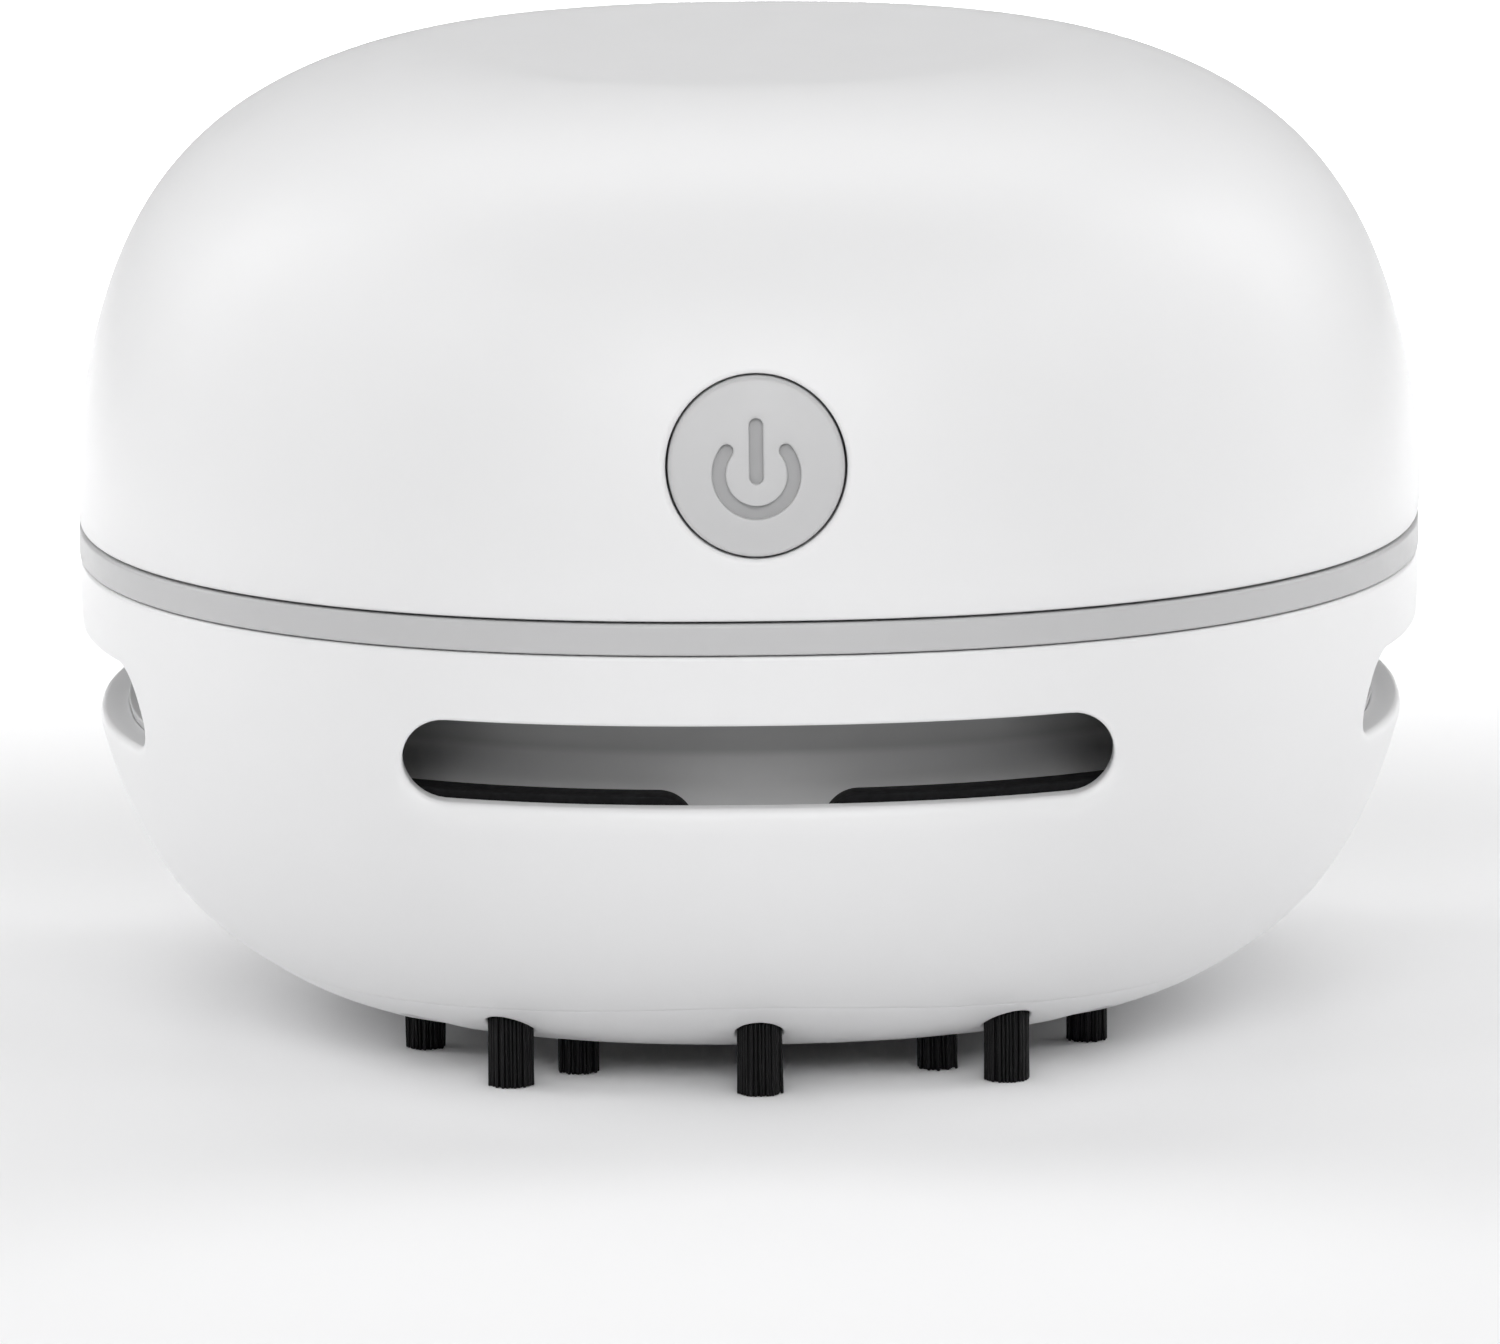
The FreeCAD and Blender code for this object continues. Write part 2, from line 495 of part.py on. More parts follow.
def cell(x, sign):
    """Round cell along Y; sign -1 puts the raised end to the front."""
    y0 = -25.1 if sign > 0 else -25.1 + NUB_L
    body = cyly(CELL_R, y0, y0 + CELL_L, x=x, z=CELL_Z)
    body = body.makeFillet(0.7, [e for e in body.Edges if len(e.Vertexes) == 1 and e.BoundBox.YLength < 1e-6])
    if sign > 0:
        nub = cyly(NUB_R, y0 + CELL_L - 0.5, y0 + CELL_L + NUB_L, x=x, z=CELL_Z)
    else:
        nub = cyly(NUB_R, y0 - NUB_L, y0 + 0.5, x=x, z=CELL_Z)
    return body.fuse(nub)


save(cell(-CELL_X, -1), "cell_left")
save(cell(CELL_X, 1), "cell_right")


def leaf(x, y_plate, y_touch):
    """Bent spring leaf between a contact plate and the flat end of a cell."""
    d = 1 if y_touch > y_plate else -1
    t = 0.3 * d
    pts = [V(x - 4.2, y_plate, 40.5), V(x - 0.9, y_touch, 40.5), V(x + 0.9, y_touch, 40.5), V(x + 4.2, y_plate, 40.5),
           V(x + 3.4, y_plate, 40.5), V(x + 0.6, y_touch - t, 40.5), V(x - 0.6, y_touch - t, 40.5), V(x - 3.4, y_plate, 40.5)]
    pts.append(pts[0])
    return Part.Face(Part.makePolygon(pts)).extrude(V(0, 0, 5.0))


link = fuse([box(-23.5, 23.5, 25.75, 26.08, 38.5, 46.6), leaf(-CELL_X, 25.76, 25.12)])
save(link, "link_contact")
front_pos = fuse([box(-23.0, -14.8, -26.08, -25.75, 38.5, 46.6), cyly(1.6, -25.76, -25.12, x=-CELL_X, z=CELL_Z), box(-17.0, -15.0, -26.08, -25.75, 46.0, 49.4)])
front_neg = fuse([box(14.8, 23.0, -26.08, -25.75, 38.5, 46.6), leaf(CELL_X, -25.76, -25.12), box(15.0, 17.0, -26.08, -25.75, 46.0, 49.4)])
save(front_pos, "positive_contact")
save(front_neg, "negative_contact")

# ---------------------------------------------------------------- switch, board, wires
save(box(-8.55, 8.55, -25.2, -24.0, PLATE_Z1, 48.0), "switch_board")
body = box(-4.1, 4.1, -31.2, -25.2, BTN_Z - 4.1, BTN_Z + 4.1)
body = body.makeFillet(0.5, [e for e in body.Edges if e.BoundBox.YLength > 5])
body = body.cut(cyly(1.65, -32, -25.9, z=BTN_Z))
save(body, "switch_body")
save(cyly(1.6, -33.3, -27.6, z=BTN_Z), "switch_plunger")

save(routed([(-16, -25.9, 49.4), (-16, -25.9, 52.4), (-4.5, -24.6, 52.4), (-4.5, -24.6, 48.0)], 0.6, 2.0), "wire_supply")
save(routed([(3.0, -24.6, 48.0), (3.0, -24.6, 57.4), (0.0, -14.0, 59.2), (0.0, -8.72, 59.2)], 0.6, 4.0), "wire_switched")
save(routed([(16, -25.9, 49.4), (16, -25.9, 54.0), (12.5, -12.0, 58.6), (12.5, 6.0, 59.2), (5.0, 13.5, 59.2), (0.0, 13.0, 59.2), (0.0, 8.72, 59.2)], 0.6, 4.0), "wire_return")

# ---------------------------------------------------------------- power button
face_solid = lofted(offset_profile(lifted(DOME, BRISTLE_H), 0.10))
cap_body = cyly(BTN_R, -46, -36.8, z=BTN_Z).common(face_solid)
flange = cyly(6.6, -37.8, -36.8, z=BTN_Z)
stem = cyly(2.0, -36.9, -33.6, z=BTN_Z)
button = cap_body.multiFuse([flange, stem])


def symbol(grow):
    """Generic power sign, extruded along Y."""
    w = SYM_BAR_W / 2 + grow
    zc = BTN_Z - SYM_DROP
    z_top = BTN_Z + 2.95
    y0 = -46.0
    bar = fuse([box(-w, w, y0, -36, z_top - SYM_BAR_H + SYM_BAR_W / 2, z_top - SYM_BAR_W / 2),
                cyly(w, y0, -36, z=z_top - SYM_BAR_W / 2), cyly(w, y0, -36, z=z_top - SYM_BAR_H + SYM_BAR_W / 2)])
    ring = cyly(SYM_R_OUT + grow, y0, -36, z=zc).cut(cyly(SYM_R_IN - grow, y0 - 1, -35, z=zc))
    g = math.radians(SYM_GAP_DEG)
    ex, ez = 9 * math.sin(g), 9 * math.cos(g)
    wedge = Part.Face(Part.makePolygon([V(0, y0 - 1, zc), V(ex, y0 - 1, zc + ez), V(0, y0 - 1, zc + 30), V(-ex, y0 - 1, zc + ez), V(0, y0 - 1, zc)])).extrude(V(0, 20, 0))
    ring = ring.cut(wedge)
    rm = (SYM_R_OUT + SYM_R_IN) / 2
    rr = (SYM_R_OUT - SYM_R_IN) / 2 + grow
    ends = [cyly(rr, y0, -36, x=s * rm * math.sin(g), z=zc + rm * math.cos(g)) for s in (-1, 1)]
    return fuse([ring] + ends), bar


deep = lofted(offset_profile(lifted(DOME, BRISTLE_H), 0.10 + SYM_DEPTH))
deeper = lofted(offset_profile(lifted(DOME, BRISTLE_H), 0.10 + SYM_DEPTH + INLAY_T))
sym_ring, sym_bar = symbol(0.0)
for s in (sym_ring, sym_bar):
    button = button.cut(s.cut(deeper))
save(button, "power_button")
inlay = [s.common(deep).cut(deeper) for s in (sym_ring, sym_bar)]
inlay = [p for s in inlay for p in s.Solids if p.CenterOfMass.y < -38]
save(group(inlay), "power_symbol")
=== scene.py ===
import bpy
import bmesh
import json
import math
import random
import numpy as np
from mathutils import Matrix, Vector
from mathutils.geometry import delaunay_2d_cdt


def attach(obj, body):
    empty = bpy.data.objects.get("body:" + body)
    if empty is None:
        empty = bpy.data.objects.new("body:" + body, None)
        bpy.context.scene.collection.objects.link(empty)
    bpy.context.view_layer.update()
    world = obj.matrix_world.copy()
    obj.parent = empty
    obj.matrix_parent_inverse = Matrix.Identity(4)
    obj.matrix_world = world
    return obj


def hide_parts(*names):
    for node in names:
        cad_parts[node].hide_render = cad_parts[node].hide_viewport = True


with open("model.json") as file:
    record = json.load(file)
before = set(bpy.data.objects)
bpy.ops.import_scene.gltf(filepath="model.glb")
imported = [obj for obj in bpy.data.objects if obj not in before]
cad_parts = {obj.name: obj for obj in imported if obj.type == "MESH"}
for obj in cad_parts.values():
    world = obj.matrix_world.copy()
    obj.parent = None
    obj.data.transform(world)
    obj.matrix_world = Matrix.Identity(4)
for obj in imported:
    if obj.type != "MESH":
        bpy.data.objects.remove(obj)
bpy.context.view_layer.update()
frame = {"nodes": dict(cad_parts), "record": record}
NODES = frame["nodes"]

# ------------------------------------------------------------------ dimensions, mm
# heights below are drawn 1.6 above the CAD frame; Builder.object lowers every piece by DROP
N = 2.25
ZB = 2.2
DROP = 1.6
DOME = [(42.320, 31.208), (42.990, 33.424), (41.438, 47.814), (32.298, 58.301), (21.879, 60.871), (18.113, 60.871)]
BOWL = [(42.330, 29.018), (42.669, 22.106), (38.784, 9.515), (32.254, 4.287), (25.559, 0.455), (9.561, 0.0)]
WALL = 2.0
SLOT_Z0, SLOT_Z1, SLOT_HALF, SLOT_HALF_SIDE = 21.56, 26.92, 21.8, 19.7
BTN_Z, BTN_HOLE_R, BTN_R, BTN_LIP = 42.8, 5.55, 5.40, 0.38
SMAX = 2.0 ** (-1.0 / N)
K = 72                      # columns in each quarter of the plan
NC = 4 * K


# ------------------------------------------------------------------ curves
def bspline(poles, count):
    """Points and tangents of a clamped uniform cubic B-spline."""
    p = np.array(poles, float)
    n, k = len(p), 3
    inner = n - k
    knots = np.concatenate([[0.0] * k, np.linspace(0, 1, inner + 1), [1.0] * k])
    t = np.linspace(0, 1, count)
    b = np.zeros((len(knots) - 1, count))
    for i in range(len(knots) - 1):
        b[i] = (t >= knots[i]) & (t < knots[i + 1])
    last = max(i for i in range(len(knots) - 1) if knots[i] < knots[i + 1])
    b[last, -1] = 1.0
    for d in range(1, k + 1):
        nb = np.zeros((len(b) - 1, count))
        for i in range(len(nb)):
            if knots[i + d] > knots[i]:
                nb[i] += (t - knots[i]) / (knots[i + d] - knots[i]) * b[i]
            if knots[i + d + 1] > knots[i + 1]:
                nb[i] += (knots[i + d + 1] - t) / (knots[i + d + 1] - knots[i + 1]) * b[i + 1]
        b = nb
    return (b[:n].T @ p)


class Profile:
    """Half outline of a shell: half width against height."""

    def __init__(self, poles, up, offset=0.0):
        c = bspline([(r, z + ZB) for r, z in poles], 4001)
        if offset:
            d = np.gradient(c, axis=0)
            d /= np.linalg.norm(d, axis=1)[:, None]
            nrm = np.stack([-d[:, 1], d[:, 0]], 1) if up else np.stack([d[:, 1], -d[:, 0]], 1)
            c = c + nrm * offset
        self.c = c
        self.up = up
        order = np.argsort(c[:, 1], kind="stable")
        self.zs, self.rs = c[order, 1], c[order, 0]
        rim = self.rs.argmax()
        low = self.rs[: rim + 1] if not up else self.rs[rim:]
        self.rm, self.zm = (self.rs[: rim + 1], self.zs[: rim + 1]) if not up else (self.rs[rim:][::-1], self.zs[rim:][::-1])
        self.s = np.concatenate([[0], np.cumsum(np.linalg.norm(np.diff(c, axis=0), axis=1))])

    def r_at(self, z):
        return np.interp(z, self.zs, self.rs)

    def z_at(self, r):
        """Height where the half width is r, on the side towards the cap."""
        return np.interp(r, self.rm, self.zm)

    def at_len(self, s):
        return np.array([np.interp(s, self.s, self.c[:, 0]), np.interp(s, self.s, self.c[:, 1])]).T


dome = Profile(DOME, True)
dome_in = Profile(DOME, True, WALL)
bowl = Profile(BOWL, False)
bowl_in = Profile(BOWL, False, WALL)


def plan_units():
    out = []
    for q in range(4):
        for k in range(K):
            s = -SMAX + 2 * SMAX * k / K
            x, y = s, -(1 - abs(s) ** N) ** (1 / N)
            for _ in range(q):
                x, y = -y, x
            out.append((x, y))
    return np.array(out)


U = plan_units()
UL = np.linalg.norm(U, axis=1)
UD = U / UL[:, None]


def sq(r, z):
    """Row on the rounded-square plan."""
    return np.column_stack([U * r, np.full(NC, float(z))])


def circ(rho, z):
    """Round row."""
    zz = z if np.ndim(z) else np.full(NC, float(z))
    return np.column_stack([UD * rho, zz])


def turn_q(p, q):
    """Turns points by q quarter turns about Z."""
    p = np.array(p, float)
    for _ in range(q % 4):
        x, y = p[:, 0].copy(), p[:, 1].copy()
        p[:, 0], p[:, 1] = -y, x
    return p


def front_y(prof, x, z):
    r = prof.r_at(z)
    return -np.maximum(r ** N - np.abs(x) ** N, 1e-9) ** (1 / N)


# ------------------------------------------------------------------ mesh helpers
class Builder:
    def __init__(self, drop=DROP):
        self.v, self.f, self.n, self.m = [], [], 0, []
        self.drop = drop

    def add(self, pts):
        pts = np.asarray(pts, float)
        base = self.n
        self.v.append(pts)
        self.n += len(pts)
        return np.arange(base, self.n)

    def face(self, *idx, mat=0):
        self.f.append(tuple(int(i) for i in idx))
        self.m.append(mat)

    def band(self, a, b, closed=True, mat=0):
        """Quads between two index rings; a is passed first, b lies next."""
        k = len(a)
        for i in range(k if closed else k - 1):
            j = (i + 1) % k
            self.face(a[i], b[i], b[j], a[j], mat=mat)

    def fan(self, centre, ring, flip=False, mat=0):
        k = len(ring)
        for i in range(k):
            j = (i + 1) % k
            if flip:
                self.face(centre, ring[j], ring[i], mat=mat)
            else:
                self.face(centre, ring[i], ring[j], mat=mat)

    def object(self, name, mats, smooth=True, sharp=None, scale=0.001, tidy=False):
        me = bpy.data.meshes.new(name)
        co = np.concatenate(self.v) - np.array([0.0, 0.0, self.drop])
        co = co * scale
        me.from_pydata(co.tolist(), [], self.f)
        me.validate(clean_customdata=False)
        mats = mats if isinstance(mats, (list, tuple)) else [mats]
        for m in mats:
            me.materials.append(m)
        if len(mats) > 1 and len(me.polygons) == len(self.m):
            me.polygons.foreach_set("material_index", self.m)
        if tidy:
            # joins the rows that meet and turns every face outwards
            bm = bmesh.new()
            bm.from_mesh(me)
            bmesh.ops.remove_doubles(bm, verts=bm.verts, dist=1e-7)
            bmesh.ops.recalc_face_normals(bm, faces=bm.faces)
            bm.to_mesh(me)
            bm.free()
        me.update()
        ob = bpy.data.objects.new(name, me)
        bpy.context.scene.collection.objects.link(ob)
        if smooth:
            me.polygons.foreach_set("use_smooth", [True] * len(me.polygons))
            if sharp is not None:
                me.set_sharp_from_angle(angle=math.radians(sharp))
        return ob


def rounded(points, radii, steps=4):
    """Closed or open (r, z) outline with its corners rounded; radii per corner, 0 keeps it."""
    pts = [np.array(p, float) for p in points]
    out = []
    n = len(pts)
    for i, p in enumerate(pts):
        rad = radii[i] if isinstance(radii, (list, tuple)) else radii
        a, b = pts[(i - 1) % n] - p, pts[(i + 1) % n] - p
        la, lb = np.linalg.norm(a), np.linalg.norm(b)
        if rad <= 0 or la < 1e-9 or lb < 1e-9:
            out.append(p)
            continue
        a, b = a / la, b / lb
        ang = math.acos(float(np.clip(a @ b, -1, 1)))
        if abs(ang - math.pi) < 1e-3:
            out.append(p)
            continue
        cut = min(rad / math.tan(ang / 2), 0.48 * la, 0.48 * lb)
        rr = cut * math.tan(ang / 2)
        bis = a + b
        bis /= np.linalg.norm(bis)
        c = p + bis * (rr / math.sin(ang / 2))
        s, e = p + a * cut, p + b * cut
        a0, a1 = math.atan2(*(s - c)[::-1]), math.atan2(*(e - c)[::-1])
        d = (a1 - a0 + math.pi) % (2 * math.pi) - math.pi
        for k in range(steps + 1):
            t = a0 + d * k / steps
            out.append(c + rr * np.array([math.cos(t), math.sin(t)]))
    return out


def lathe(b, outline, seg=128, centre=(0, 0), mat=0, closed=True, cap=False, frame_fn=None):
    """Turns a closed (r, z) outline about the vertical line through centre; the outline runs anticlockwise in (r, z)."""
    ang = np.linspace(0, 2 * math.pi, seg, endpoint=False)
    cs, sn = np.cos(ang), np.sin(ang)
    rings = []
    for r, z in outline:
        if r < 1e-6:
            p = np.array([[centre[0], centre[1], z]])
        else:
            p = np.column_stack([centre[0] + r * cs, centre[1] + r * sn, np.full(seg, z)])
        if frame_fn is not None:
            p = frame_fn(p)
        rings.append(b.add(p))
    n = len(rings)
    for i in range(n if closed else n - 1):
        a, c = rings[i], rings[(i + 1) % n]
        if len(a) == 1 and len(c) == 1:
            continue
        if len(a) == 1:
            for k in range(seg):
                b.face(a[0], c[(k + 1) % seg], c[k], mat=mat)
        elif len(c) == 1:
            for k in range(seg):
                b.face(a[k], a[(k + 1) % seg], c[0], mat=mat)
        else:
            for k in range(seg):
                j = (k + 1) % seg
                b.face(a[k], a[j], c[j], c[k], mat=mat)
    return rings


# ------------------------------------------------------------------ materials
def material(name, rgb, rough=0.4, metallic=0.0, var=0.03, var_scale=160.0, rough_var=0.05, rough_scale=700.0,
             bump=0.0, bump_scale=3000.0, bump_dist=0.00002, coat=0.0, sheen=0.0, spec=0.5, sss=0.0, sss_scale=0.002,
             stretch=None, dark=None, ior=None, bump2=0.0, bump2_scale=300.0, bump2_dist=0.00004, painted_shadow_by_height=None):
    m = bpy.data.materials.new(name)
    m.use_nodes = True
    nt = m.node_tree
    bsdf = nt.nodes["Principled BSDF"]
    tc = nt.nodes.new("ShaderNodeTexCoord")
    mp = nt.nodes.new("ShaderNodeMapping")
    if stretch:
        mp.inputs["Scale"].default_value = stretch
    nt.links.new(tc.outputs["Object"], mp.inputs["Vector"])
    bsdf.inputs["Metallic"].default_value = metallic
    bsdf.inputs["Specular IOR Level"].default_value = spec
    bsdf.inputs["Coat Weight"].default_value = coat
    bsdf.inputs["Coat Roughness"].default_value = 0.12
    bsdf.inputs["Sheen Weight"].default_value = sheen
    if ior:
        bsdf.inputs["IOR"].default_value = ior
    if sss:
        bsdf.inputs["Subsurface Weight"].default_value = sss
        bsdf.inputs["Subsurface Radius"].default_value = (1.0, 0.9, 0.85)
        bsdf.inputs["Subsurface Scale"].default_value = sss_scale
    n1 = nt.nodes.new("ShaderNodeTexNoise")
    n1.inputs["Scale"].default_value = var_scale
    n1.inputs["Detail"].default_value = 4.0
    nt.links.new(mp.outputs["Vector"], n1.inputs["Vector"])
    r1 = nt.nodes.new("ShaderNodeValToRGB")
    lo = [c * (1 - var) for c in rgb] if dark is None else list(dark)
    r1.color_ramp.elements[0].position = 0.3
    r1.color_ramp.elements[1].position = 0.7
    r1.color_ramp.elements[0].color = (*lo, 1)
    r1.color_ramp.elements[1].color = (*rgb, 1)
    nt.links.new(n1.outputs["Fac"], r1.inputs["Fac"])
    colour = r1.outputs["Color"]
    if painted_shadow_by_height:
        # painted shadow: the base colour darkens with height, standing in for the shadow that a vent's upper edge casts
        # on the wall behind it: (height in metres, share of the base colour) pairs
        sep = nt.nodes.new("ShaderNodeSeparateXYZ")
        nt.links.new(tc.outputs["Object"], sep.inputs["Vector"])
        zr = nt.nodes.new("ShaderNodeMapRange")
        z0, z1 = painted_shadow_by_height[0][0], painted_shadow_by_height[-1][0]
        zr.inputs["From Min"].default_value = z0
        zr.inputs["From Max"].default_value = z1
        nt.links.new(sep.outputs["Z"], zr.inputs["Value"])
        gr = nt.nodes.new("ShaderNodeValToRGB")
        while len(gr.color_ramp.elements) < len(painted_shadow_by_height):
            gr.color_ramp.elements.new(0.5)
        for el, (z, f) in zip(gr.color_ramp.elements, painted_shadow_by_height):
            el.position = (z - z0) / (z1 - z0)
        for el, (z, f) in zip(gr.color_ramp.elements, painted_shadow_by_height):
            el.color = (f, f, f, 1)
        nt.links.new(zr.outputs["Result"], gr.inputs["Fac"])
        mul = nt.nodes.new("ShaderNodeMix")
        mul.data_type = "RGBA"
        mul.blend_type = "MULTIPLY"
        mul.inputs[0].default_value = 1.0
        nt.links.new(colour, mul.inputs[6])
        nt.links.new(gr.outputs["Color"], mul.inputs[7])
        colour = mul.outputs[2]
    nt.links.new(colour, bsdf.inputs["Base Color"])
    n2 = nt.nodes.new("ShaderNodeTexNoise")
    n2.inputs["Scale"].default_value = rough_scale
    n2.inputs["Detail"].default_value = 3.0
    nt.links.new(mp.outputs["Vector"], n2.inputs["Vector"])
    mr = nt.nodes.new("ShaderNodeMapRange")
    mr.inputs["From Min"].default_value = 0.3
    mr.inputs["From Max"].default_value = 0.7
    mr.inputs["To Min"].default_value = max(rough - rough_var, 0.02)
    mr.inputs["To Max"].default_value = min(rough + rough_var, 1.0)
    nt.links.new(n2.outputs["Fac"], mr.inputs["Value"])
    nt.links.new(mr.outputs["Result"], bsdf.inputs["Roughness"])
    normal = None
    for strength, scale, dist in ((bump2, bump2_scale, bump2_dist), (bump, bump_scale, bump_dist)):
        if strength <= 0:
            continue
        n3 = nt.nodes.new("ShaderNodeTexNoise")
        n3.inputs["Scale"].default_value = scale
        n3.inputs["Detail"].default_value = 2.0
        nt.links.new(mp.outputs["Vector"], n3.inputs["Vector"])
        bp = nt.nodes.new("ShaderNodeBump")
        bp.inputs["Strength"].default_value = strength
        bp.inputs["Distance"].default_value = dist
        nt.links.new(n3.outputs["Fac"], bp.inputs["Height"])
        if normal is not None:
            nt.links.new(normal, bp.inputs["Normal"])
        normal = bp.outputs["Normal"]
    if normal is not None:
        nt.links.new(normal, bsdf.inputs["Normal"])
    return m


M = {}
M["shell_white"] = material("shell_white", (0.86, 0.86, 0.865), rough=0.40, var=0.012, var_scale=60, rough_var=0.025, rough_scale=420,
                            bump=0.10, bump_scale=5200, bump_dist=0.000006, bump2=0.05, bump2_scale=260, bump2_dist=0.000008, spec=0.4)
M["trim_grey"] = material("trim_grey", (0.56, 0.56, 0.565), rough=0.42, var=0.02, var_scale=120, rough_var=0.04, bump=0.2, bump_scale=6000, bump_dist=0.000008)
M["button_grey"] = material("button_grey", (0.585, 0.585, 0.59), rough=0.40, var=0.02, var_scale=150, rough_var=0.04, bump=0.22, bump_scale=6500, bump_dist=0.000008)
M["symbol_grey"] = material("symbol_grey", (0.41, 0.41, 0.415), rough=0.55, var=0.03, var_scale=300, rough_var=0.05, bump=0.3, bump_scale=7000, bump_dist=0.00001)
M["inner_grey"] = material("inner_grey", (0.60, 0.60, 0.605), rough=0.45, var=0.03, var_scale=110, rough_var=0.06, bump=0.25, bump_scale=5000, bump_dist=0.00001)
# dust cup: its colour is darkened towards the rim by a height ramp, a painted shadow of the vents' upper edges on the
# wall
M["cup_grey_painted_shadow"] = material("cup_grey_painted_shadow", (0.84, 0.84, 0.845), rough=0.42, var=0.03, var_scale=110, rough_var=0.06, bump=0.25, bump_scale=5000, bump_dist=0.00001,
                         painted_shadow_by_height=((0.0175, 1.0), (0.0200, 0.86), (0.0222, 0.60), (0.0227, 0.42), (0.0240, 0.40)))
M["chassis_white"] = material("chassis_white", (0.78, 0.78, 0.775), rough=0.46, var=0.03, var_scale=90, rough_var=0.06, bump=0.3, bump_scale=4500, bump_dist=0.000012)
M["foam_black"] = material("foam_black", (0.010, 0.010, 0.011), spec=0.2, rough=0.8, var=0.5, var_scale=2600, rough_var=0.08, bump=0.6, bump_scale=2600, bump_dist=0.00006)
M["rubber_black"] = material("rubber_black", (0.016, 0.016, 0.017), rough=0.62, var=0.15, var_scale=700, rough_var=0.08, bump=0.3, bump_scale=3000, bump_dist=0.00002)
M["bristle_black"] = material("bristle_black", (0.006, 0.006, 0.0065), spec=0.2, rough=0.42, var=0.3, var_scale=900, rough_var=0.08)
M["screw_steel"] = material("screw_steel", (0.66, 0.66, 0.67), rough=0.30, metallic=1.0, var=0.08, var_scale=900, rough_var=0.08, bump=0.15, bump_scale=3000, bump_dist=0.00001)
M["motor_steel"] = material("motor_steel", (0.72, 0.72, 0.73), rough=0.30, metallic=1.0, var=0.06, var_scale=300, rough_var=0.08, rough_scale=260, bump=0.12, bump_scale=1800, bump_dist=0.00001, stretch=(1, 1, 0.08))
M["shaft_steel"] = material("shaft_steel", (0.78, 0.78, 0.79), rough=0.16, metallic=1.0, var=0.03, rough_var=0.05, stretch=(1, 1, 8))
M["bush_bronze"] = material("bush_bronze", (0.58, 0.42, 0.24), rough=0.38, metallic=1.0, var=0.15, var_scale=1500, rough_var=0.08)
M["end_cap_plastic"] = material("end_cap_plastic", (0.80, 0.79, 0.75), rough=0.5, var=0.03, rough_var=0.05, bump=0.25, bump_scale=4200, bump_dist=0.000015)
M["contact_metal"] = material("contact_metal", (0.80, 0.77, 0.70), rough=0.26, metallic=1.0, var=0.08, var_scale=500, rough_var=0.07, stretch=(1, 1, 0.2))
M["magnet"] = material("magnet", (0.07, 0.07, 0.075), rough=0.55, metallic=0.4, var=0.25, var_scale=900)
M["lamination"] = material("lamination", (0.32, 0.32, 0.33), rough=0.4, metallic=1.0, var=0.3, var_scale=260, stretch=(0.05, 0.05, 14))
M["copper"] = material("copper", (0.62, 0.25, 0.10), rough=0.28, metallic=1.0, var=0.25, var_scale=420, stretch=(1, 1, 8))
M["impeller_white"] = material("impeller_white", (0.80, 0.80, 0.78), rough=0.42, var=0.03, rough_var=0.05, bump=0.2, bump_scale=4000, bump_dist=0.00001)
M["board_green"] = material("board_green", (0.020, 0.130, 0.055), rough=0.32, var=0.15, var_scale=500, rough_var=0.06, bump=0.2, bump_scale=2500, bump_dist=0.00001)
M["switch_black"] = material("switch_black", (0.035, 0.035, 0.036), rough=0.42, var=0.15, var_scale=500, rough_var=0.06, bump=0.2, bump_scale=4000, bump_dist=0.00001)
M["plunger_white"] = material("plunger_white", (0.80, 0.80, 0.79), rough=0.38, var=0.03)
M["filter_cloth"] = material("filter_cloth", (0.83, 0.83, 0.80), rough=0.92, var=0.12, var_scale=1400, rough_var=0.05, bump=0.7, bump_scale=2600, bump_dist=0.00005, sheen=0.25)
M["wire_red"] = material("wire_red", (0.52, 0.03, 0.02), rough=0.38, var=0.12, var_scale=300)
M["wire_black"] = material("wire_black", (0.022, 0.022, 0.023), rough=0.38, var=0.2, var_scale=300)


# ------------------------------------------------------------------ shells with rounded openings
def closest_stadium(half):
    """Nearest point of the outline of a vent of that half length."""
    r = (SLOT_Z1 - SLOT_Z0) / 2
    zc = (SLOT_Z1 + SLOT_Z0) / 2
    h = half - r

    def nearest(x, z):
        cx = np.clip(x, -h, h)
        dx, dz = x - cx, z - zc
        d = math.hypot(dx, dz)
        return cx + dx / d * r, zc + dz / d * r
    return nearest


def closest_circle(x, z):
    dx, dz = x, z - BTN_Z
    d = math.hypot(dx, dz)
    return dx / d * BTN_HOLE_R, BTN_Z + dz / d * BTN_HOLE_R


def perimeter(ia, ib, ja, jb):
    out = [(i, ja) for i in range(ia, ib + 1)]
    out += [(ib, j) for j in range(ja + 1, jb + 1)]
    out += [(i, jb) for i in range(ib - 1, ia - 1, -1)]
    out += [(ia, j) for j in range(jb - 1, ja, -1)]
    return out


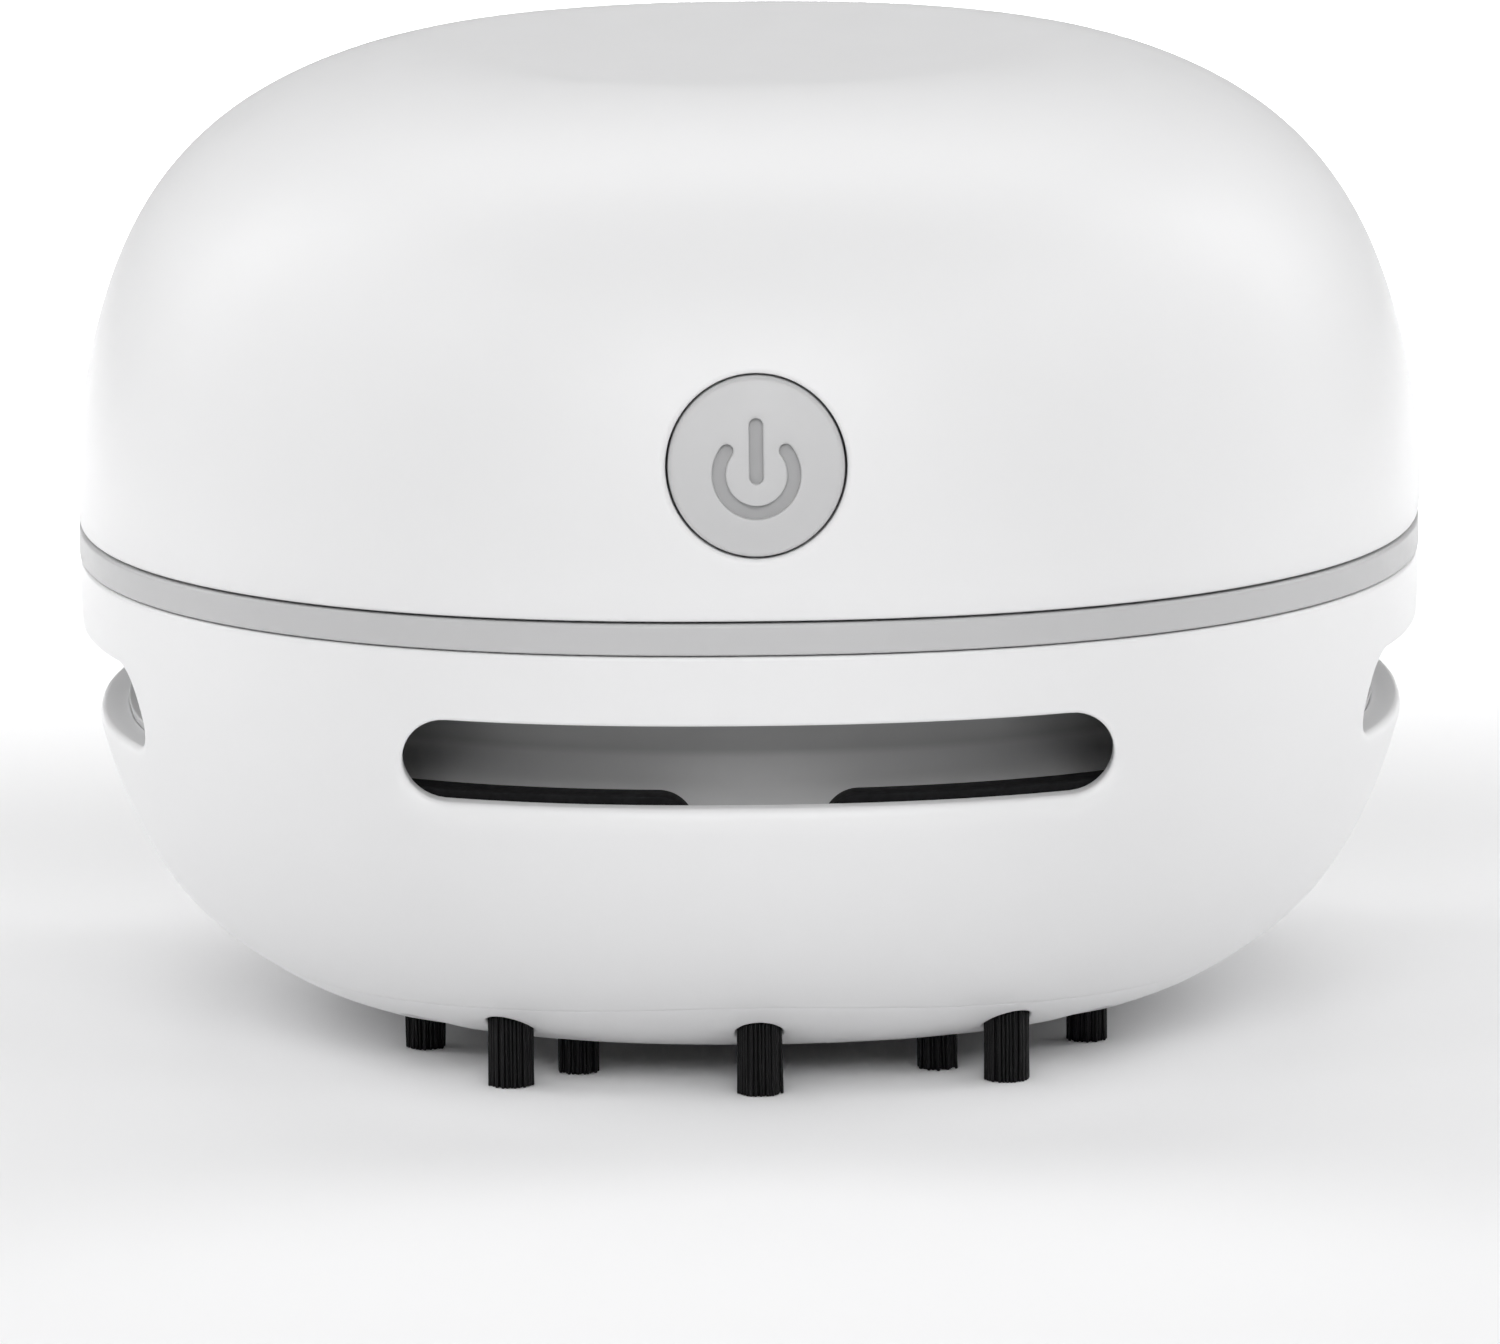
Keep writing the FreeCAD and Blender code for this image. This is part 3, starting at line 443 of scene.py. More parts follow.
def opening(b, grid_out, grid_in, q, ia, ib, ja, jb, ka, kb, prof_out, prof_in, closest, lip, inner_lip, steps=8, mid=(0.72, 0.46, 0.22)):
    """Cuts a rounded opening through both skins. ja..jb are the outer rows downwards, ka..kb the inner rows upwards."""
    per_o = perimeter(ia, ib, ja, jb)
    per_i = [(i, kb - (j - ja)) for i, j in per_o]
    vo = np.concatenate(b.v)
    po = turn_q(vo[[grid_out[j][i % NC] for i, j in per_o]], -q % 4)
    pi = turn_q(vo[[grid_in[j][i % NC] for i, j in per_i]], -q % 4)
    bound = np.array([closest(x, z) for x, z in po[:, [0, 2]]])

    def rings(p, prof, lip_r, sign):
        d_out = p[:, [0, 2]] - bound
        dist = np.linalg.norm(d_out, axis=1)
        nrm = d_out / dist[:, None]
        made = []
        if callable(lip_r):
            lip_r = lip_r(nrm)[:, None]
        else:
            lip_r = np.full((len(p), 1), lip_r)
        flat = lip_r[:, 0]
        deep = np.minimum(flat, 0.22 + 0.5 * (flat - 0.22)) if sign > 0 else flat
        for t in mid:
            d = flat + (dist - flat) * t
            xz = bound + nrm * d[:, None]
            made.append(np.column_stack([xz[:, 0], front_y(prof, xz[:, 0], xz[:, 1]), xz[:, 1]]))
        for k in range(steps + 1):
            phi = math.pi / 2 * k / steps
            d = lip_r * (1 - math.sin(phi))
            depth = deep * (1 - math.cos(phi))
            xz = bound + nrm * d
            made.append(np.column_stack([xz[:, 0], front_y(prof, xz[:, 0], xz[:, 1]) + sign * depth, xz[:, 1]]))
        return made

    last = [grid_out[j][i % NC] for i, j in per_o]
    for ring in rings(po, prof_out, lip, 1.0):
        idx = b.add(turn_q(ring, q))
        b.band(last, idx)
        last = idx
    lip_out = last
    last = [grid_in[j][i % NC] for i, j in per_i]
    for ring in rings(pi, prof_in, inner_lip, -1.0):
        idx = b.add(turn_q(ring, q))
        b.band(idx, last)
        last = idx
    b.band(lip_out, last)


def grid_faces(b, rows, skip=()):
    """Quads between successive rows, leaving out the cells in the given index boxes (ia, ib, ja, jb)."""
    hide = set()
    for ia, ib, ja, jb in skip:
        for i in range(ia, ib):
            for j in range(ja, jb):
                hide.add((i % NC, j))
    for j in range(len(rows) - 1):
        a, c = rows[j], rows[j + 1]
        for i in range(NC):
            if (i, j) in hide:
                continue
            k = (i + 1) % NC
            b.face(a[i], c[i], c[k], a[k])


def arc_rows(p0, p1, p2, steps):
    """Quarter-like arc of rows from p0 to p2 round corner p1, as a quadratic curve."""
    out = []
    for k in range(1, steps):
        t = k / steps
        out.append(((1 - t) ** 2 * p0[0] + 2 * t * (1 - t) * p1[0] + t * t * p2[0],
                    (1 - t) ** 2 * p0[1] + 2 * t * (1 - t) * p1[1] + t * t * p2[1]))
    return out


def vent_lip(nrm):
    """Lip radius of a vent: small above and at the ends, broad along the lower edge."""
    t = np.clip((0.35 - nrm[:, 1]) / 1.15, 0, 1)
    t = t * t * (3 - 2 * t)
    return 0.22 + 1.38 * t


def side_vent_lip(nrm):
    """The side vents have a narrower lower lip, so that the outline of the shell stays full."""
    return 0.22 + 0.5 * (vent_lip(nrm) - 0.22)


def column_near(q, s):
    """Index of the column of quarter q nearest to the share s of the half width."""
    return q * K + int(round((s + SMAX) / (2 * SMAX) * K))


# ---- lower shell
def make_lower_shell():
    b = Builder()
    z_top = BOWL[0][1] + ZB
    rim = 0.28
    rows_o = []
    # rim edge, then outer skin downwards
    rows_o.append(sq(bowl.r_at(z_top) - rim, z_top))
    for r, z in arc_rows((bowl.r_at(z_top) - rim, z_top), (bowl.r_at(z_top), z_top), (bowl.r_at(z_top - rim), z_top - rim), 5):
        rows_o.append(sq(r, z))
    zs = list(np.arange(z_top - rim, 19.3, -0.60))
    j_first = len(rows_o)
    for z in zs:
        rows_o.append(sq(bowl.r_at(z), z))
    slot_rows = [j_first + k for k, z in enumerate(zs) if 19.3 < z < 29.3]
    ja, jb = slot_rows[0], slot_rows[-1]
    # below the vents the rows turn from the rounded square to the round opening
    s0 = np.interp(-zs[-1], -bowl.c[:, 1], bowl.s)
    r_end = 33.42
    z_pts = bowl.at_len(np.linspace(s0, np.interp(-7.6, -bowl.c[:, 1], bowl.s), 26))[1:]
    n_pts = len(z_pts)
    for k, (r, z) in enumerate(z_pts):
        w = ((k + 1) / n_pts) ** 1.6
        rho = (1 - w) * r * UL + w * (r_end + 0.1)
        rr = rho / UL
        rows_o.append(np.column_stack([UD * rho[:, None], bowl.z_at(rr)]))
    edge_z = rows_o[-1][:, 2]
    for ang in (25, 55, 90):
        a = math.radians(ang)
        rho = r_end + 0.1 - 0.1 * math.sin(a)
        zz = bowl.z_at(np.full(NC, r_end + 0.1) / UL) + 0.1 * (1 - math.cos(a))
        rows_o.append(circ(rho, zz))
    rows_o.append(circ(r_end, 8.6))
    rows_o.append(circ(25.0, 8.6))
    rows_o.append(circ(25.0, 10.4))
    rows_o.append(circ(30.0, 10.4))
    r_floor = bowl_in.r_at(10.4)
    rows_o.append(sq(r_floor - 0.6, 10.4))
    idx = [b.add(r) for r in rows_o]
    # inner skin upwards
    rows_i = []
    for z in np.linspace(10.75, 19.3, 12)[:-1]:
        rows_i.append(sq(bowl_in.r_at(z), z))
    k_first = len(rows_i)
    n_slot = jb - ja
    zs_slot = [zs[k - j_first] for k in range(ja, jb + 1)][::-1]
    for z in zs_slot:
        rows_i.append(sq(bowl_in.r_at(z), z))
    ka, kb = k_first, k_first + n_slot
    for z in np.linspace(zs_slot[-1] + 0.5, z_top - 0.25, 4):
        rows_i.append(sq(bowl_in.r_at(z), z))
    rows_i.append(sq(bowl_in.r_at(z_top - 0.1) + 0.12, z_top - 0.05))
    rows_i.append(sq(bowl_in.r_at(z_top) + 0.3, z_top))
    idx_i = [b.add(r) for r in rows_i]
    skips_o, skips_i = [], []
    for q in range(4):
        ia, ib = column_near(q, -0.605), column_near(q, 0.605)
        skips_o.append((ia, ib, ja, jb))
        skips_i.append((ia, ib, ka, kb))
        opening(b, idx, idx_i, q, ia, ib, ja, jb, ka, kb, bowl, bowl_in, closest_stadium(SLOT_HALF if q % 2 == 0 else SLOT_HALF_SIDE), vent_lip if q % 2 == 0 else side_vent_lip, 0.2)
    grid_faces(b, idx, skips_o)
    grid_faces(b, idx_i, skips_i)
    grid_faces(b, [idx[-1], idx_i[0]])
    grid_faces(b, [idx_i[-1], idx[0]])
    ob = b.object("lower_shell_skin", M["shell_white"], sharp=50)
    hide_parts("lower_shell", *[n for n in ("shell_ledge",) if n in NODES])
    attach(ob, "dust_unit")
    return ob


# ---- top cover
def make_top_shell():
    b = Builder()
    z_rim = DOME[0][1] + ZB
    z_top = DOME[-1][1] + ZB
    rows_o = [sq(r, z_top) for r in np.linspace(1.2, DOME[-1][0], 12)[:-1]]
    pole = b.add([[0, 0, z_top]])[0]
    # outer skin downwards: by length where it is round, by height beside the button
    z_side = 50.9
    s_end = np.interp(z_side, dome.c[:, 1], dome.s)
    pts = dome.at_len(np.linspace(dome.s[-1], s_end, 46))
    for r, z in pts[:-1]:
        rows_o.append(sq(r, z))
    ja = len(rows_o)
    zs = list(np.linspace(z_side, 35.5, 22))
    for z in zs:
        rows_o.append(sq(dome.r_at(z), z))
    jb = len(rows_o) - 1
    rim = 0.22
    for z in np.linspace(35.5, z_rim + rim, 5)[1:]:
        rows_o.append(sq(dome.r_at(z), z))
    corner = dome.r_at(z_rim)
    for r, z in arc_rows((dome.r_at(z_rim + rim), z_rim + rim), (corner, z_rim), (corner - rim, z_rim), 5):
        rows_o.append(sq(r, z))
    rows_o.append(sq(corner - rim, z_rim))
    rows_o.append(sq(dome_in.r_at(z_rim) + 0.25, z_rim))
    idx = [b.add(r) for r in rows_o]
    rows_i = [sq(dome_in.r_at(z_rim + 0.25), z_rim + 0.25)]
    for z in np.linspace(34.2, 35.5, 3)[:-1]:
        rows_i.append(sq(dome_in.r_at(z), z))
    ka = len(rows_i)
    for z in zs[::-1]:
        rows_i.append(sq(dome_in.r_at(z), z))
    kb = len(rows_i) - 1
    s0 = np.interp(z_side, dome_in.c[:, 1], dome_in.s)
    for r, z in dome_in.at_len(np.linspace(s0, dome_in.s[-1], 24))[1:]:
        rows_i.append(sq(r, z))
    zi = dome_in.c[-1, 1]
    for r in np.linspace(dome_in.c[-1, 0], 1.2, 8)[1:]:
        rows_i.append(sq(r, zi))
    idx_i = [b.add(r) for r in rows_i]
    pole_i = b.add([[0, 0, zi]])[0]
    ia, ib = column_near(0, -0.205), column_near(0, 0.205)
    opening(b, idx, idx_i, 0, ia, ib, ja, jb, ka, kb, dome, dome_in, closest_circle, BTN_LIP, 0.15, steps=7)
    grid_faces(b, idx, [(ia, ib, ja, jb)])
    grid_faces(b, idx_i, [(ia, ib, ka, kb)])
    grid_faces(b, [idx[-1], idx_i[0]])
    b.fan(pole, idx[0])
    b.fan(pole_i, idx_i[-1], flip=True)

    # guide that the button slides in, behind the wall
    def to_y(p):
        x, z = p[:, 0], BTN_Z + p[:, 1]
        return np.column_stack([x, np.maximum(p[:, 2], front_y(dome, x, z) + 1.0), z])
    lathe(b, rounded([(8.4, -39.6), (6.9, -39.6), (6.9, -35.4), (8.4, -35.4)], [0, 0, 0.25, 0.25]), seg=72, frame_fn=to_y)
    ob = b.object("top_cover_skin", M["shell_white"], sharp=50)
    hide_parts("top_shell")
    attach(ob, "top_cover")
    return ob


# ---- trim ring
def make_trim_ring():
    b = Builder()
    ro, ri, z0, z1 = 42.42, 39.92, 31.32, 33.25
    out = rounded([(ro, z1), (ro, z0), (ri, z0), (ri, z1)], [0.22, 0.22, 0.1, 0.1], steps=5)
    rows = [b.add(sq(r, z)) for r, z in out]
    for k in range(len(rows)):
        grid_faces(b, [rows[k], rows[(k + 1) % len(rows)]])
    ob = b.object("trim_ring_skin", M["trim_grey"], sharp=60)
    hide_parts("trim_ring")
    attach(ob, "motor_unit")
    return ob


# ------------------------------------------------------------------ flat faces with cut-outs
def arc_pts(cx, cz, r, a0, a1, n, last=False):
    k = n if not last else n - 1
    return [(cx + r * math.cos(a0 + (a1 - a0) * i / k), cz + r * math.sin(a0 + (a1 - a0) * i / k)) for i in range(n)]


def symbol_bar(grow, n=14):
    w = 0.415 + grow
    top = BTN_Z + 2.95 - 0.45
    bot = BTN_Z + 2.95 - 4.0 + 0.45
    pts = arc_pts(0, top, w, 0, math.pi, n, True)
    for k in range(1, 12):
        pts.append((-w, top + (bot - top) * k / 12))
    pts += arc_pts(0, bot, w, math.pi, 2 * math.pi, n, True)
    for k in range(1, 12):
        pts.append((w, bot + (top - bot) * k / 12))
    return pts


def symbol_arc(grow, n=84, ne=12):
    ro, ri = 2.705 + grow, 1.885 - grow
    zc = BTN_Z - 0.43
    rm, re = (2.705 + 1.885) / 2, (2.705 - 1.885) / 2 + grow
    g = math.radians(52.0)
    a0, a1 = math.pi / 2 + g, 2 * math.pi + math.pi / 2 - g
    pts = arc_pts(0, zc, ro, a0, a1, n, True)
    ex, ez = rm * math.cos(a1), zc + rm * math.sin(a1)
    pts += arc_pts(ex, ez, re, a1, a1 + math.pi, ne, True)[1:-1]
    pts += arc_pts(0, zc, ri, a1, a0, n, True)
    ex, ez = rm * math.cos(a0), zc + rm * math.sin(a0)
    pts += arc_pts(ex, ez, re, a0 + math.pi, a0 + 2 * math.pi, ne, True)[1:-1]
    return pts


def inside(poly, pts):
    """Which points lie inside a polygon."""
    x, y = pts[:, 0], pts[:, 1]
    res = np.zeros(len(pts), bool)
    px, py = poly[:, 0], poly[:, 1]
    j = len(poly) - 1
    for i in range(len(poly)):
        cond = (py[i] > y) != (py[j] > y)
        with np.errstate(divide="ignore", invalid="ignore"):
            xs = (px[j] - px[i]) * (y - py[i]) / (py[j] - py[i] + 1e-30) + px[i]
        res ^= cond & (x < xs)
        j = i
    return res


def flat_with_holes(outline, holes, fill):
    """Triangles of a plane region with holes. Returns 2-D points, triangles and the index of each outline point."""
    loops = [list(outline)] + [list(h) for h in holes]
    pts, edges, where = [], [], []
    for lp in loops:
        base = len(pts)
        pts += [Vector(p) for p in lp]
        edges += [(base + i, base + (i + 1) % len(lp)) for i in range(len(lp))]
        where.append(list(range(base, base + len(lp))))
    keep = np.array(fill, float)
    if len(keep):
        ok = inside(np.array(outline), keep)
        for h in holes:
            ok &= ~inside(np.array(h), keep)
        keep = keep[ok]
        every = np.array([tuple(p) for p in pts])
        gap = np.array([np.min(np.sum((every - k) ** 2, axis=1)) for k in keep])
        keep = keep[gap > FILL_GAP ** 2]
    pts += [Vector((float(a), float(c))) for a, c in keep]
    v, e, f, ov, oe, of = delaunay_2d_cdt(pts, edges, [], 0, 1e-7, True)
    new_of = {}
    for new, olds in enumerate(ov):
        for o in olds:
            new_of[o] = new
    xy = np.array([tuple(p) for p in v])
    cen = np.array([np.mean(xy[list(t)], axis=0) for t in f])
    ok = inside(np.array(outline), cen)
    for h in holes:
        ok &= ~inside(np.array(h), cen)
    tris = []
    for t, good in zip(f, ok):
        if not good:
            continue
        a, c2, d = xy[t[0]], xy[t[1]], xy[t[2]]
        area = (c2[0] - a[0]) * (d[1] - a[1]) - (c2[1] - a[1]) * (d[0] - a[0])
        tris.append(tuple(t) if area > 0 else (t[0], t[2], t[1]))
    return xy, tris, [[new_of[i] for i in w] for w in where]


FILL_GAP = 0.16


# ---- power button
def make_button():
    b = Builder()
    off = 0.10

    def skin(x, z, depth=0.0):
        return front_y(dome, x, z) + off + depth

    edge = 0.28
    seg = 120
    outline = arc_pts(0, BTN_Z, BTN_R - edge, 0, 2 * math.pi, seg)
    lip = 0.10
    shapes = [(symbol_bar, {}), (symbol_arc, {})]
    holes = [f(lip) for f, _ in shapes]
    fill = []
    for ring in np.arange(0.35, BTN_R - edge - 0.12, 0.30):
        n = max(6, int(2 * math.pi * ring / 0.32))
        fill += [(ring * math.cos(2 * math.pi * k / n + ring), BTN_Z + ring * math.sin(2 * math.pi * k / n + ring)) for k in range(n)]
    xy, tris, where = flat_with_holes(outline, holes, fill)
    pts = np.column_stack([xy[:, 0], skin(xy[:, 0], xy[:, 1]), xy[:, 1]])
    base = b.add(pts)
    for t in tris:
        b.face(base[t[0]], base[t[1]], base[t[2]])
    # rounded rim of the cap and its side wall
    last = [base[i] for i in where[0]]
    for k in range(1, 6):
        phi = math.pi / 2 * k / 5
        r = BTN_R - edge + edge * math.sin(phi)
        p = np.array(arc_pts(0, BTN_Z, r, 0, 2 * math.pi, seg))
        idx = b.add(np.column_stack([p[:, 0], skin(p[:, 0], p[:, 1]) + edge * (1 - math.cos(phi)), p[:, 1]]))
        b.band(idx, last)
        last = idx
    p = np.array(arc_pts(0, BTN_Z, BTN_R, 0, 2 * math.pi, seg))
    for r, y in ((BTN_R, -37.8), (6.6, -37.8), (6.6, -36.8), (2.0, -36.8), (2.0, -33.75)):
        p = np.array(arc_pts(0, BTN_Z, r, 0, 2 * math.pi, seg))
        idx = b.add(np.column_stack([p[:, 0], np.full(seg, y), p[:, 1]]))
        b.band(idx, last)
        last = idx
    p = np.array(arc_pts(0, BTN_Z, 1.85, 0, 2 * math.pi, seg))
    idx = b.add(np.column_stack([p[:, 0], np.full(seg, -33.6), p[:, 1]]))
    b.band(idx, last)
    c = b.add([[0, -33.6, BTN_Z]])[0]
    b.fan(c, idx, flip=False)
    # recess walls of the symbol
    floors = []
    depth = 0.40
    for (fn, _), w in zip(shapes, where[1:]):
        last = [base[i] for i in w]
        for k in range(1, 4):
            phi = math.pi / 2 * k / 3
            grow = lip * (1 - math.sin(phi))
            p = np.array(fn(grow))
            idx = b.add(np.column_stack([p[:, 0], skin(p[:, 0], p[:, 1]) + lip * (1 - math.cos(phi)), p[:, 1]]))
            b.band(last, idx)
            last = idx
        p = np.array(fn(0.0))
        idx = b.add(np.column_stack([p[:, 0], skin(p[:, 0], p[:, 1]) + depth + 0.14, p[:, 1]]))
        b.band(last, idx)
        # closing floor behind the inlay
        xy2, tri2, _w = flat_with_holes([tuple(q) for q in p], [], [])
        back = b.add(np.column_stack([xy2[:, 0], skin(xy2[:, 0], xy2[:, 1]) + depth + 0.14, xy2[:, 1]]))
        for t in tri2:
            b.face(back[t[0]], back[t[1]], back[t[2]])
        floors.append(fn)
    ob = b.object("power_button_cap", M["button_grey"], sharp=40, tidy=True)
    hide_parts("power_button")
    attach(ob, "button")

    s = Builder()
    for fn in floors:
        p = [tuple(q) for q in fn(-0.004)]
        arr = np.array(p)
        xy2, tri2, w2 = flat_with_holes(p, [], [])
        top = s.add(np.column_stack([xy2[:, 0], skin(xy2[:, 0], xy2[:, 1]) + depth, xy2[:, 1]]))
        bot = s.add(np.column_stack([xy2[:, 0], skin(xy2[:, 0], xy2[:, 1]) + depth + 0.12, xy2[:, 1]]))
        for t in tri2:
            s.face(top[t[0]], top[t[1]], top[t[2]])
            s.face(bot[t[0]], bot[t[2]], bot[t[1]])
        ring_t = [top[i] for i in w2[0]]
        ring_b = [bot[i] for i in w2[0]]
        s.band(ring_b, ring_t)
    ob2 = s.object("power_symbol_inlay", M["symbol_grey"], sharp=40, tidy=True)
    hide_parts("power_symbol")
    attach(ob2, "button")


# ------------------------------------------------------------------ base plate and bristles
OUTER = [(0.0, -30.0), (15.4, -26.6), (-15.4, -26.6)]
INNER = [(11.2, -22.7), (-11.2, -22.7), (20.8, -14.5), (-20.8, -14.5)]
OUTER += [(x, -y) for x, y in OUTER]
INNER += [(x, -y) for x, y in INNER]
C45 = 28.0 * math.sqrt(0.5)
SCREWS = [(C45, C45), (-C45, C45), (-C45, -C45), (C45, -C45)]


def plan_factor(x, y):
    a = np.arctan2(y, x)
    return (np.abs(np.cos(a)) ** N + np.abs(np.sin(a)) ** N) ** (-1 / N)


def bowl_z(x, y):
    """Height of the underside of the bowl over a plan point."""
    rho = np.hypot(x, y) / plan_factor(x, y)
    rr = np.maximum(rho, BOWL[-1][0])
    return bowl.z_at(rr)


def make_base_plate():
    global FILL_GAP
    b = Builder()
    seg = 200
    edge = 0.1
    rim_r = 33.36
    outline = arc_pts(0, 0, rim_r - edge, 0, 2 * math.pi, seg)
    mouth_r = 23.32
    holes = [arc_pts(0, 0, mouth_r, 0, 2 * math.pi, 96)]
    wells = [(x, y, 1.45 + 0.22) for x, y in OUTER] + [(x, y, 1.36 + 0.22) for x, y in INNER] + [(x, y, 2.3 + 0.3) for x, y in SCREWS]
    for x, y, r in wells:
        holes.append(arc_pts(x, y, r, 0, 2 * math.pi, 32))
    fill = []
    for ring in np.arange(mouth_r + 0.5, 33.0, 0.85):
        n = int(2 * math.pi * ring / 1.0)
        fill += [(ring * math.cos(2 * math.pi * k / n + ring), ring * math.sin(2 * math.pi * k / n + ring)) for k in range(n)]
    for x, y, r in wells:
        for e in (0.35, 0.8):
            fill += arc_pts(x, y, r + e, 0.1, 2 * math.pi + 0.1, 26)
    FILL_GAP = 0.30
    xy, tris, where = flat_with_holes(outline, holes, fill)
    FILL_GAP = 0.16
    base = b.add(np.column_stack([xy, bowl_z(xy[:, 0], xy[:, 1])]))
    for t in tris:
        b.face(base[t[0]], base[t[2]], base[t[1]])

    def ring_down(loop, cx, cy, start, steps):
        """Carries a loop through (radius, height above the skin or absolute height) steps; the first loop is on the skin."""
        last = loop
        n = len(loop)
        for r, z, absolute in steps:
            p = np.array(arc_pts(cx, cy, r, 0, 2 * math.pi, n))
            zz = np.full(n, z) if absolute else bowl_z(p[:, 0], p[:, 1]) + z
            idx = b.add(np.column_stack([p, zz]))
            yield last, idx
            last = idx

    # outer rim
    steps = [(rim_r - edge + edge * math.sin(a), edge * (1 - math.cos(a)), False) for a in np.linspace(0, math.pi / 2, 5)[1:]]
    steps += [(rim_r, 8.5, True), (33.2, 8.6, True), (31.6, 8.6, True)]
    for a, c in ring_down([base[i] for i in where[0]], 0, 0, None, steps):
        b.band(a, c)
        last = c
    # rounded edge of the recess, its flat, the nozzle's parting line, the flared mouth and the bore
    mouth = [(23.1, 0.02, False), (22.8, 0.08, False), (22.45, 0.24, False), (21.8, 0.62, False), (21.2, 3.15, True), (20.9, 3.2, True), (17.0, 3.2, True), (13.4, 3.2, True), (13.24, 3.26, True), (13.22, 3.6, True),
             (13.16, 3.6, True), (13.14, 3.26, True), (12.98, 3.2, True), (11.2, 3.2, True), (10.6, 3.32, True), (9.9, 3.7, True), (9.2, 4.4, True), (8.6, 5.4, True), (8.2, 6.6, True), (8.0, 7.6, True), (8.0, 8.5, True), (8.1, 8.6, True), (12.8, 8.6, True)]
    inner_loop = [base[i] for i in where[1]]
    for a, c in ring_down(inner_loop, 0, 0, None, mouth):
        b.band(c, a)
        last_in = c
    # plain inside: a floor between the collar and the rim, out of sight
    n_a, n_b = len(last), len(last_in)
    roof_pts_out = np.array(arc_pts(0, 0, 31.6, 0, 2 * math.pi, n_a))
    xy2, tri2, w2 = flat_with_holes([tuple(p) for p in roof_pts_out], [arc_pts(0, 0, 12.8, 0, 2 * math.pi, n_b)], [])
    roof = b.add(np.column_stack([xy2, np.full(len(xy2), 8.6)]))
    for t in tri2:
        b.face(roof[t[0]], roof[t[1]], roof[t[2]])
    # wells of the bristle tufts and the screws
    for (x, y, r), w in zip(wells, where[2:]):
        deep = 1.4 if r < 2 else 2.0
        e = 0.22 if r < 2 else 0.3
        rr = r - e
        st = [(r - e * math.sin(a), e * (1 - math.cos(a)), False) for a in np.linspace(0, math.pi / 2, 4)[1:]]
        st += [(rr, deep, False)] if r < 2 else [(rr, 6.6, True)]
        for a, c in ring_down([base[i] for i in w], x, y, None, st):
            b.band(c, a)
            tail = c
        zc = (bowl_z(np.array([x]), np.array([y]))[0] + deep) if r < 2 else 6.6
        cidx = b.add([[x, y, zc]])[0]
        b.fan(cidx, tail, flip=False)
    ob = b.object("base_plate_skin", M["shell_white"], sharp=50, tidy=True)
    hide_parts("base_plate", *[n for n in ("inlet_nozzle",) if n in NODES])
    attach(ob, "dust_unit")


def make_bristles():
    rnd = random.Random(41)
    for name, spots, rad in (("outer_bristles", OUTER, 1.45), ("inner_bristles", INNER, 1.36)):
        b = Builder()
        for x, y in spots:
            # filaments packed in a round socket
            step = 0.235
            cells = []
            n = int(rad / step) + 2
            for i in range(-n, n + 1):
                for j in range(-n, n + 1):
                    px = (i + 0.5 * (j % 2)) * step
                    py = j * step * 0.866
                    if math.hypot(px, py) < rad - 0.13:
                        cells.append((px, py))
            z_skin = float(bowl_z(np.array([x]), np.array([y]))[0])
            z_up = z_skin + 1.3
            for px, py in cells:
                px += rnd.uniform(-0.03, 0.03)
                py += rnd.uniform(-0.03, 0.03)
                fr = rnd.uniform(0.098, 0.118)
                splay = rnd.uniform(0.98, 1.03)
                lx, ly = rnd.uniform(-0.05, 0.05), rnd.uniform(-0.05, 0.05)
                z0 = DROP + (rnd.uniform(0.0, 0.05) if rnd.random() < 0.85 else rnd.uniform(0.0, 0.14))
                rings = []
                levels = [(z_up, 0.0), (z_skin, 0.25), ((z_skin + z0) / 2, 0.6), (z0 + 0.05, 1.0), (z0, 1.0)]
                for k, (z, t) in enumerate(levels):
                    cx = x + px * (1 + (splay - 1) * t) + lx * t * t
                    cy = y + py * (1 + (splay - 1) * t) + ly * t * t
                    r = fr if k < len(levels) - 1 else fr * 0.72
                    ang = [2 * math.pi * s / 7 for s in range(7)]
                    rings.append(b.add([[cx + r * math.cos(a), cy + r * math.sin(a), z] for a in ang]))
                for k in range(len(rings) - 1):
                    b.band(rings[k], rings[k + 1])
                tip = b.add([[x + px * splay + lx, y + py * splay + ly, z0]])[0]
                b.fan(tip, rings[-1], flip=True)
                b.face(*rings[0][::-1])
        ob = b.object(name + "_filaments", M["bristle_black"], tidy=True)
        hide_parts(name)
        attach(ob, "dust_unit")


M["cell_sleeve"] = material("cell_sleeve", (0.060, 0.085, 0.105), rough=0.30, var=0.04, var_scale=140, rough_var=0.03, coat=0.25, bump=0.02, bump_scale=300)
M["cell_band"] = material("cell_band", (0.52, 0.54, 0.56), rough=0.34, var=0.05, var_scale=240, rough_var=0.06)
M["cell_can"] = material("cell_can", (0.74, 0.74, 0.75), rough=0.24, metallic=1.0, var=0.05, var_scale=600, rough_var=0.07)
M["solder"] = material("solder", (0.70, 0.70, 0.71), rough=0.22, metallic=1.0, var=0.12, var_scale=900, rough_var=0.08, bump=0.4, bump_scale=1500, bump_dist=0.00003)
M["pad_gold"] = material("pad_gold", (0.72, 0.55, 0.30), rough=0.32, metallic=1.0, var=0.08, var_scale=500)
M["trace_green"] = material("trace_green", (0.035, 0.20, 0.085), rough=0.30, var=0.1, var_scale=500, rough_var=0.05)
M["chip_black"] = material("chip_black", (0.02, 0.02, 0.021), rough=0.5, var=0.2, var_scale=800, bump=0.3, bump_scale=3500)


